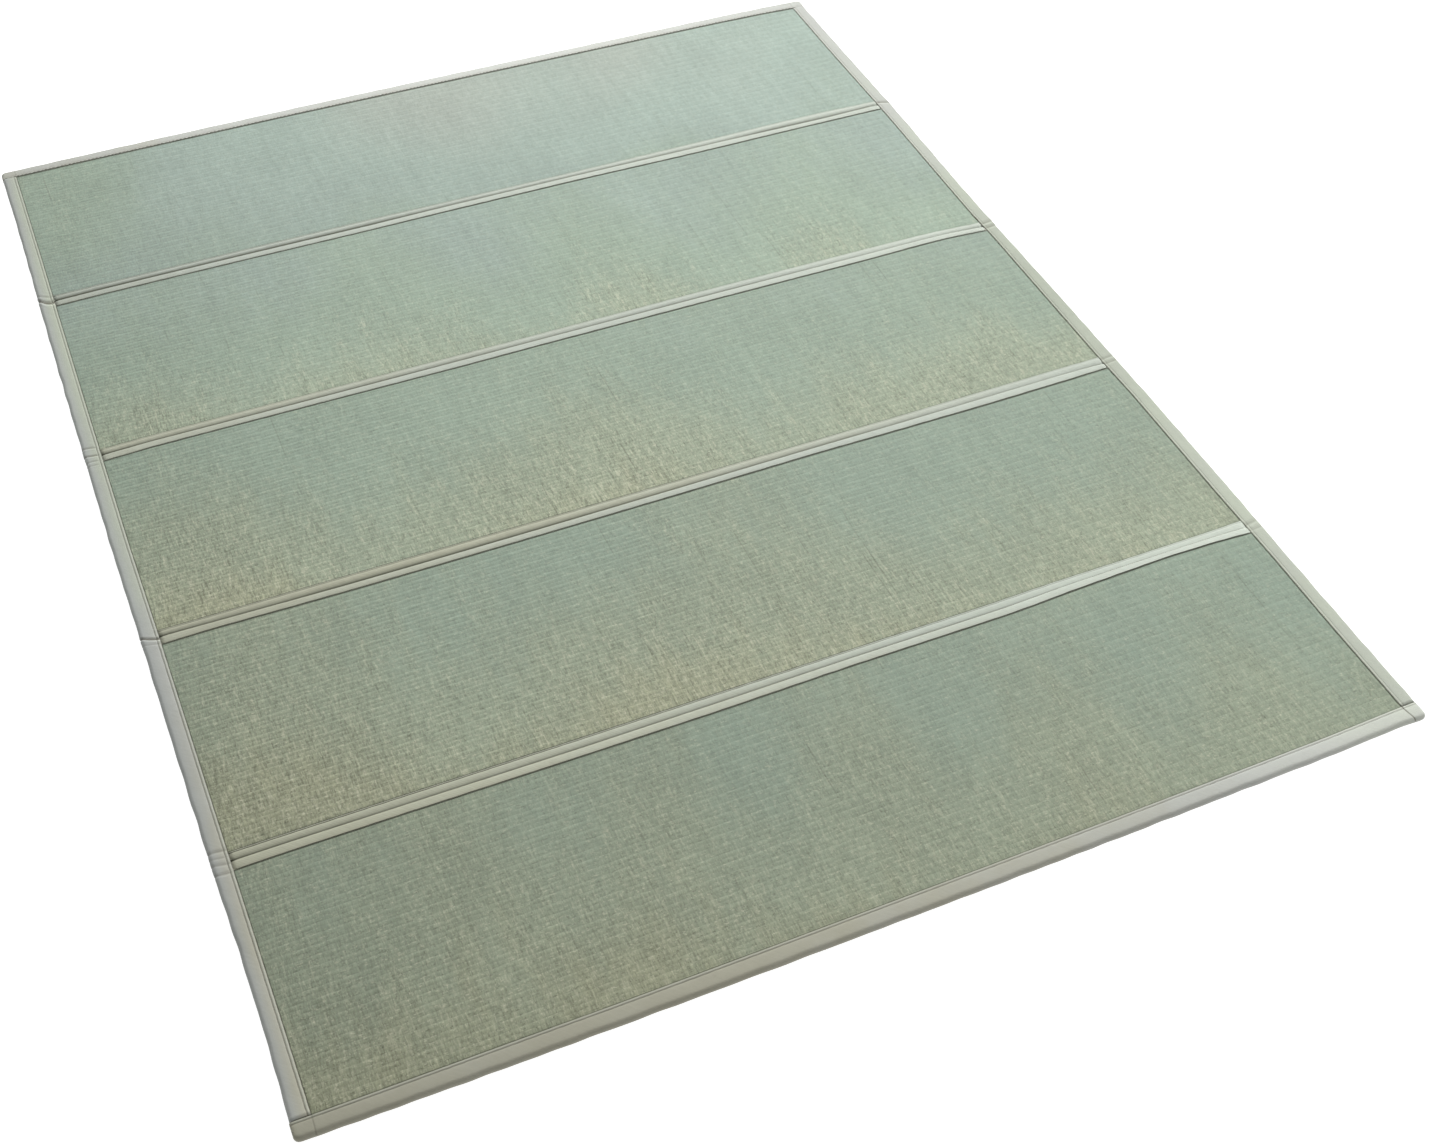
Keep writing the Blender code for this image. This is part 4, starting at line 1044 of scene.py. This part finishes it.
def binding_points(profile, outer_edge, seam):
    """Distance out from the mat's middle and height of a profile's points at each section."""
    out, height = [], []
    for measured_from, distance, level in profile:
        out.append(seam + distance if measured_from == "seam" else outer_edge - distance)
        height.append(np.full_like(seam, level))
    return np.array(out).T, np.array(height).T


def binding_shade(name, along):
    """A binding's painted light and shade, and its coolness, partly a painted sheen, at places along it."""
    steps = np.linspace(along[0], along[-1], len(BINDING_SHADES[name].shade))
    return {key: np.interp(along, steps, values) for key, values in BINDING_SHADES[name]._asdict().items()}


def binding_marks(from_seam, width, height, ridge_share, outward_share):
    """Vertex values for a binding's finish: painted shade in its stitch groove and along its seam's lip, a
    painted highlight on the ridge, and how far out a point is.
    """
    above = height > THICKNESS / 2
    groove = 0.55 * bell(from_seam - STITCH_GROOVE, 0.0007)
    lip_shade = 0.40 * bell(from_seam, 0.0004)
    ridge = bell(from_seam - 0.0020, 0.0014)
    return {
        "seam": np.where(above, groove * ridge_share + lip_shade, 0.0),
        "ridge": np.where(above, ridge * ridge_share, 0.0),
        "outward": np.clip(from_seam / width, 0, 1) * outward_share,
    }


def binding_pucker(along, from_seam, width, above, seed):
    """Small lifts of a binding's cloth: puckers at its stitch line and slow waves across its width."""
    pull = bell(from_seam - STITCH_GROOVE, 0.006) * above
    fullness = np.sin(math.pi * np.clip(from_seam / width, 0, 1)) * above
    pucker = BINDING_PUCKER * uneven(along, from_seam * 2, seed + 20, 0.012, terms=9) * pull
    return pucker + BINDING_WAVE * fullness * uneven(along, from_seam, seed + 30, 0.05)


def crease_shape(creases, along, share):
    """How far the cloth sinks into the creases at each point, the painted shade in them and the painted
    highlight beside them.
    """
    sink = np.zeros(np.broadcast(along, share).shape)
    dark = np.zeros_like(sink)
    light = np.zeros_like(sink)
    out = np.clip(share, 0, 1)
    for crease in creases:
        middle = (crease.along + crease.skew * out**1.3 - crease.bow * np.sin(math.pi * out)) * MM
        reach = (along - middle) / (crease.half_width * MM)
        there = np.clip((out - crease.start) / 0.20 + 1, 0, 1)
        beside = bell(np.abs(reach) - 1.35, 0.55)
        sink += (crease.depth * bell(reach, 0.62) - crease.lift * beside) * MM * there
        depth = crease.depth * there
        dark = np.maximum(dark, depth * bell(reach, 0.50))
        dark = np.maximum(dark, 0.42 * depth * bell(reach - 0.9, 0.8))
        light = np.maximum(light, depth * bell(reach + 1.15, 0.45))
    return sink, dark, light


def merged_places(places, low, high, gap):
    """Places between two ends in order, without those closer together than the gap."""
    kept = [low]
    for place in sorted(places):
        if place - kept[-1] > gap and place < high - gap:
            kept.append(place)
    return np.array([*kept, high])


def crease_stations(creases, low, high):
    """Places of a side binding's sections, close together at its creases."""
    places = list(np.linspace(low, high, int((high - low) / BINDING_SPACING) + 1))
    for crease in creases:
        middle, reach = (crease.along + crease.skew / 2) * MM, CREASE_REACH + abs(crease.skew) / 2 * MM
        places += list(np.arange(middle - reach, middle + reach, CREASE_SPACING))
    return merged_places(places, low, high, CREASE_SPACING * 0.7)


def add_side_binding(side, finish):
    """Binding along a long side, with the creases that folding left where the mat folds."""
    sign = SIGNS[side]
    low = -float(EDGES["near"]["seam"](SIDE_END_X * sign)) + PIECE_GAP
    high = float(EDGES["far"]["seam"](SIDE_END_X * sign)) - PIECE_GAP
    creases = LEFT_CREASES if side == "left" else RIGHT_CREASES
    y = crease_stations(creases, low, high)
    seam = EDGES[side]["seam"](y) + SEAM_WANDER * uneven(y, 0, 300 + sign, 0.020)
    outer_edge = EDGES[side]["outer"](y) + EDGE_WANDER * uneven(y, 0, 310 + sign, 0.060)
    width = (outer_edge - seam)[:, None]
    ridge_share, outward_share = 0.35, OUTWARD_SHARE
    if side == "left":
        ridge_share, outward_share = np.interp(y, (-0.40, 0.45), (1.0, 0.40))[:, None], 1.0
    outer, inner = binding_profile()
    inner_out, inner_height = binding_points(inner, outer_edge, seam)
    out, height = binding_points(outer, outer_edge, seam)
    from_seam = out - seam[:, None]
    along = np.broadcast_to(y[:, None], out.shape)
    marks = binding_marks(from_seam, width, height, ridge_share, outward_share)
    sink, dark, light = crease_shape(creases, along, from_seam / width)
    above = np.clip((height - THICKNESS / 2) / ABOVE_FADE, 0, 1)
    height = height - sink * above + binding_pucker(along, from_seam, width, above, 300 + sign)
    out = out - np.where(from_seam > width * 0.6, sink * np.sin(math.pi * height / THICKNESS), 0.0)
    # Painted shade in the creases
    marks["seam"] = np.maximum(marks["seam"], np.clip(1.1 * dark, 0, 0.9) * above)
    if side == "right":
        # Painted shadow in the gap where the seam opens
        opening_shadow = bell(along - RIGHT_OPENING, 0.014) * bell(from_seam, 0.0013)
        marks["seam"] = np.maximum(marks["seam"], 0.95 * opening_shadow * above)
    inner_points = stacked(sign * inner_out, y[:, None], inner_height)
    points = np.concatenate([stacked(sign * out, along, height), inner_points], axis=1)
    attributes = {key: np.pad(value, ((0, 0), (0, len(inner)))) for key, value in marks.items()}
    for key, value in binding_shade(side, y).items():
        attributes[key] = np.repeat(value[:, None], points.shape[1], axis=1)
    # Painted highlight beside the creases
    attributes["shade"][:, : len(outer)] *= 1 + 0.42 * light * above
    faces = tube_faces(*points.shape[:2])
    piece = add_piece(f"binding_cloth_{side}", points, faces, [finish], None, attributes)
    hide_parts(f"side_binding_{side}")
    return piece


def corner_curve(name):
    """A column of the corner table as a function of the distance from the mat's corner."""
    places = [row.distance * MM for row in CORNER_ROWS]
    values = [getattr(row, name) for row in CORNER_ROWS]
    return lambda distance: np.interp(distance, places, values)


def end_stations(left, right):
    """Places of an end binding's sections, close together at the mat's corners."""
    corner = np.array([row.distance for row in CORNER_ROWS]) * MM
    seams = np.arange(*CORNER_SEAM_SPAN, CORNER_SEAM_SPACING)
    inner = np.arange(left + 2 * corner[-1], right - 2 * corner[-1], BINDING_SPACING)
    inner = inner[np.abs(inner) < CORNER_SEAM_SPAN[0]]
    places = [*(left + corner), *(right - corner), *seams, *-seams, *inner]
    return merged_places(places, left, right, 0.8 * corner[1])


def corner_seam_x(corner, share):
    """X of a corner's seam at shares of the way out across the end binding."""
    start = float(EDGES[corner.side]["seam"](CORNER_SEAM_Y * SIGNS[corner.end]))
    return SIGNS[corner.side] * (start + corner.lean * MM * np.clip(share, 0, 1) ** 1.5)


def end_surfaces(end, x, distance, outer, inner):
    """Points of an end binding's outer and inner profile at each section, and its outer vertex values."""
    sign = SIGNS[end]
    calm = np.clip(distance / CALM_LENGTH, 0, 1)
    seam = EDGES[end]["seam"](x)
    outer_edge = EDGES[end]["outer"](x) - corner_curve("round_back")(distance) * MM
    outer_edge = outer_edge + EDGE_WANDER * calm * uneven(x, 0, 400 + sign, 0.060)
    thickness_share = corner_curve("thickness_share")(distance)[:, None]
    ridge_share = np.interp(x, (-0.20, 0.60), (1.0, 0.30))[:, None] if end == "near" else 0.30
    inner_out, inner_height = binding_points(inner, outer_edge, seam)
    out, height = binding_points(outer, outer_edge, seam)
    from_seam, width = out - seam[:, None], (outer_edge - seam)[:, None]
    along = np.broadcast_to(x[:, None], out.shape)
    marks = binding_marks(from_seam, width, height, ridge_share, OUTWARD_SHARE)
    above = np.clip((height - THICKNESS / 2) / ABOVE_FADE, 0, 1) * calm[:, None]
    height = height + binding_pucker(along, from_seam, width, above, 400 + sign)
    for corner in CORNER_SEAM_ROWS:
        if corner.end == end:
            place = corner_seam_x(corner, from_seam / width)
            line = bell(along - place, CORNER_SEAM_WIDTH) * (height > THICKNESS / 2)
            height = height - corner.depth * MM * line
            # Painted shade in the corner seam
            marks["seam"] = np.maximum(marks["seam"], corner.dark * line)
    surfaces = []
    for profile_out, profile_height in ((out, height), (inner_out, inner_height)):
        level = THICKNESS / 2 + (profile_height - THICKNESS / 2) * thickness_share
        surfaces.append(stacked(x[:, None], sign * profile_out, level))
    return surfaces, marks


def add_end_binding(end, finish):
    """Binding along a short end; its ends are sewn into pockets that close the mat's corners."""
    row = 0 if end == "near" else -1
    left, right = -LEFT_EDGE[row].outer * MM, RIGHT_EDGE[row].outer * MM
    x = end_stations(left, right)
    distance = np.minimum(x - left, right - x)
    outer, inner = binding_profile()
    (outer_points, inner_points), values = end_surfaces(end, x, distance, outer, inner)
    along_values = binding_shade(end, x)
    marks = {key: [] for key in (*values, *along_values)}
    points, faces = [], []
    previous = None
    for i in range(len(x)):
        in_pocket = distance[i] >= POCKET_START * MM - 1e-9
        chosen = list(range(len(inner))) if in_pocket else [0, len(inner) - 1]
        start = len(points)
        points += [*outer_points[i], *inner_points[i][chosen]]
        for key, value in values.items():
            marks[key] += [*value[i], *[0.0] * len(chosen)]
        for key, value in along_values.items():
            marks[key] += [value[i]] * (len(outer) + len(chosen))
        outer_ids = list(range(start, start + len(outer)))
        inner_ids = list(range(start + len(outer), len(points)))
        ring = outer_ids + inner_ids
        lips = outer_ids + [inner_ids[0], inner_ids[-1]]
        if previous is None:
            faces.append(ring)
        else:
            same = len(previous["ring"]) == len(ring)
            first, second = (previous["ring"], ring) if same else (previous["lips"], lips)
            for k in range(len(first)):
                after = (k + 1) % len(first)
                faces.append([first[k], first[after], second[after], second[k]])
            if not same:
                faces.append(inner_ids if in_pocket else previous["inner"])
        previous = {"ring": ring, "lips": lips, "inner": inner_ids}
    faces.append(previous["ring"])
    piece = add_piece(f"binding_cloth_{end}", points, faces, [finish], None, marks)
    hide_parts(f"end_binding_{end}")
    return piece


def add_stitches(name, path, row, finish, seed):
    """A row of small rounded stitches along a path of points, joined in one mesh."""
    run = np.concatenate([[0], np.cumsum(np.linalg.norm(np.diff(path, axis=0), axis=1))])
    rng = np.random.default_rng(seed)
    middles = np.arange(row.pitch / 2, run[-1] - row.pitch / 2, row.pitch)
    middles = middles + rng.uniform(-0.12, 0.12, len(middles)) * row.pitch
    lengths = row.length * rng.uniform(0.8, 1.15, len(middles))
    tones = np.clip(row.tone * rng.uniform(0.8, 1.1, len(middles)), 0, 1)
    points, faces, values = [], [], []
    for middle, long, shade in zip(middles, lengths, tones):
        centre = np.array([np.interp(middle, run, path[:, k]) for k in range(3)])
        along = np.array([np.interp(middle + row.length, run, path[:, k]) for k in range(3)]) - centre
        along[2] = 0.0
        along /= max(np.linalg.norm(along), 1e-9)
        beside = np.array([-along[1], along[0], 0.0])
        faces += tube_faces(len(STITCH_STATIONS), STITCH_SIDES, len(points))
        for share, fatness in STITCH_STATIONS:
            for side in range(STITCH_SIDES):
                angle = side * 2 * math.pi / STITCH_SIDES
                offset = beside * math.cos(angle) * row.width / 2 * fatness
                lift = math.sin(angle) * row.width * 0.36 * fatness
                points.append(centre + along * share * long + offset + np.array([0, 0, lift]))
                values.append(shade)
    return add_piece(name, points, faces, [finish], None, {"tone": values})


def binding_path(name, row):
    """Points of a stitch line along a binding."""
    along = np.linspace(*BINDING_STITCH_SPANS[name], PATH_POINTS[name])
    out = SIGNS[name] * (EDGES[name]["seam"](along) + row.offset)
    x, y = (along, out) if name in OPPOSITE else (out, along)
    return stacked(x, y, row.height)


def fold_path(fold, name, row, left, right):
    """Points of a stitch line along a fold tape; the groove's line lies as deep as the groove."""
    x = np.linspace(left, right, PATH_POINTS["fold"])
    drop = FOLDS[fold]["depth"](x) if name == "groove" else 0.0
    return stacked(x, fold_line(fold) + FOLDS[fold][name](x) + row.offset, row.height - drop)


def build_pieces():
    """All pieces: the rush panels, and the fold tapes and bindings with their stitches."""
    rush, backing = rush_finish(), backing_finish()
    tape, binding, thread = tape_finish(), binding_finish(), thread_finish()
    for panel in range(PANEL_COUNT):
        add_panel(panel, rush, backing)
    for fold in range(PANEL_COUNT - 1):
        left, right = tape_span(fold)
        lines = [("tape_edge", "near", TAPE_EDGE_STITCHES), ("tape_groove", "groove", TAPE_GROOVE_STITCHES)]
        if fold in FLANGE_STITCHED_FOLDS:
            lines.append(("flange", "far", FLANGE_STITCHES))
        for name, part, row in lines:
            low, high = left + STITCH_INSETS[part], right - STITCH_INSETS[part]
            if part == "far":
                high = FLANGE_STITCHES_RIGHT
            path = fold_path(fold, part, row, low, high)
            add_stitches(f"{name}_stitches_{fold + 1}", path, row, thread, row.seed + fold)
        piece = add_fold_tape(fold, tape)
        flat = (TAPE_CLOTH_WIDTH, right - left)

    for name, row in BINDING_STITCHES.items():
        path = binding_path(name, row)
        add_stitches(f"binding_stitches_{name}", path, row, thread, row.seed)
    for side in ("left", "right"):
        piece = add_side_binding(side, binding)
        flat = (BINDING_CLOTH_WIDTH, SIDE_CLOTH_LENGTH)
    for end, panel in (("near", PANEL_COUNT), ("far", 1)):
        piece = add_end_binding(end, binding)
        flat = (BINDING_CLOTH_WIDTH, END_CLOTH_LENGTH)


def add_camera():
    data = bpy.data.cameras.new("camera")
    data.lens = CAMERA_LENS
    data.sensor_width = CAMERA_SENSOR
    data.shift_x = CAMERA_SHIFT_X
    data.clip_start, data.clip_end = CAMERA_CLIP
    camera = bpy.data.objects.new("camera", data)
    bpy.context.scene.collection.objects.link(camera)
    back = CAMERA_BACK.normalized()
    right = (CAMERA_RIGHT - CAMERA_RIGHT.dot(back) * back).normalized()
    axes = Matrix((right, back.cross(right), back)).transposed().to_4x4()
    camera.matrix_world = Matrix.Translation(CAMERA_EYE) @ axes
    bpy.context.scene.camera = camera


def add_floor():
    mesh = bpy.data.meshes.new("floor")
    half = FLOOR_SIDE / 2
    corners = [(x, y, -FLOOR_DROP) for x, y in ((-half, -half), (half, -half), (half, half), (-half, half))]
    mesh.from_pydata(corners, [], [(0, 1, 2, 3)])
    shader = Shader("pale_floor", roughness=0.9, specular=0.0)
    shader.surface.inputs["Emission Color"].default_value = (1.0, 1.0, 1.0, 1.0)
    shader.surface.inputs["Emission Strength"].default_value = FLOOR_GLOW
    mesh.materials.append(shader.finish(FLOOR_COLOUR))
    floor = bpy.data.objects.new("floor", mesh)
    bpy.context.scene.collection.objects.link(floor)


def add_lights():
    """The world's even light and the large soft lights."""
    world = bpy.data.worlds.new("studio")
    world.use_nodes = True
    background = world.node_tree.nodes["Background"]
    background.inputs["Color"].default_value = (*WORLD_COLOUR, 1.0)
    background.inputs["Strength"].default_value = WORLD_STRENGTH
    bpy.context.scene.world = world
    for row in LIGHT_ROWS:
        data = bpy.data.lights.new(row.name, "AREA")
        data.shape = "RECTANGLE"
        data.size, data.size_y = row.size
        data.energy = row.power
        data.color = LIGHT_COLOUR
        light = bpy.data.objects.new(row.name, data)
        light.location = row.place
        light.rotation_euler = (Vector(row.target) - Vector(row.place)).to_track_quat("-Z", "Y").to_euler()
        bpy.context.scene.collection.objects.link(light)


bpy.context.scene.view_settings.view_transform = "Standard"
bpy.context.scene.view_settings.look = "None"
add_camera()
add_floor()
add_lights()
build_pieces()
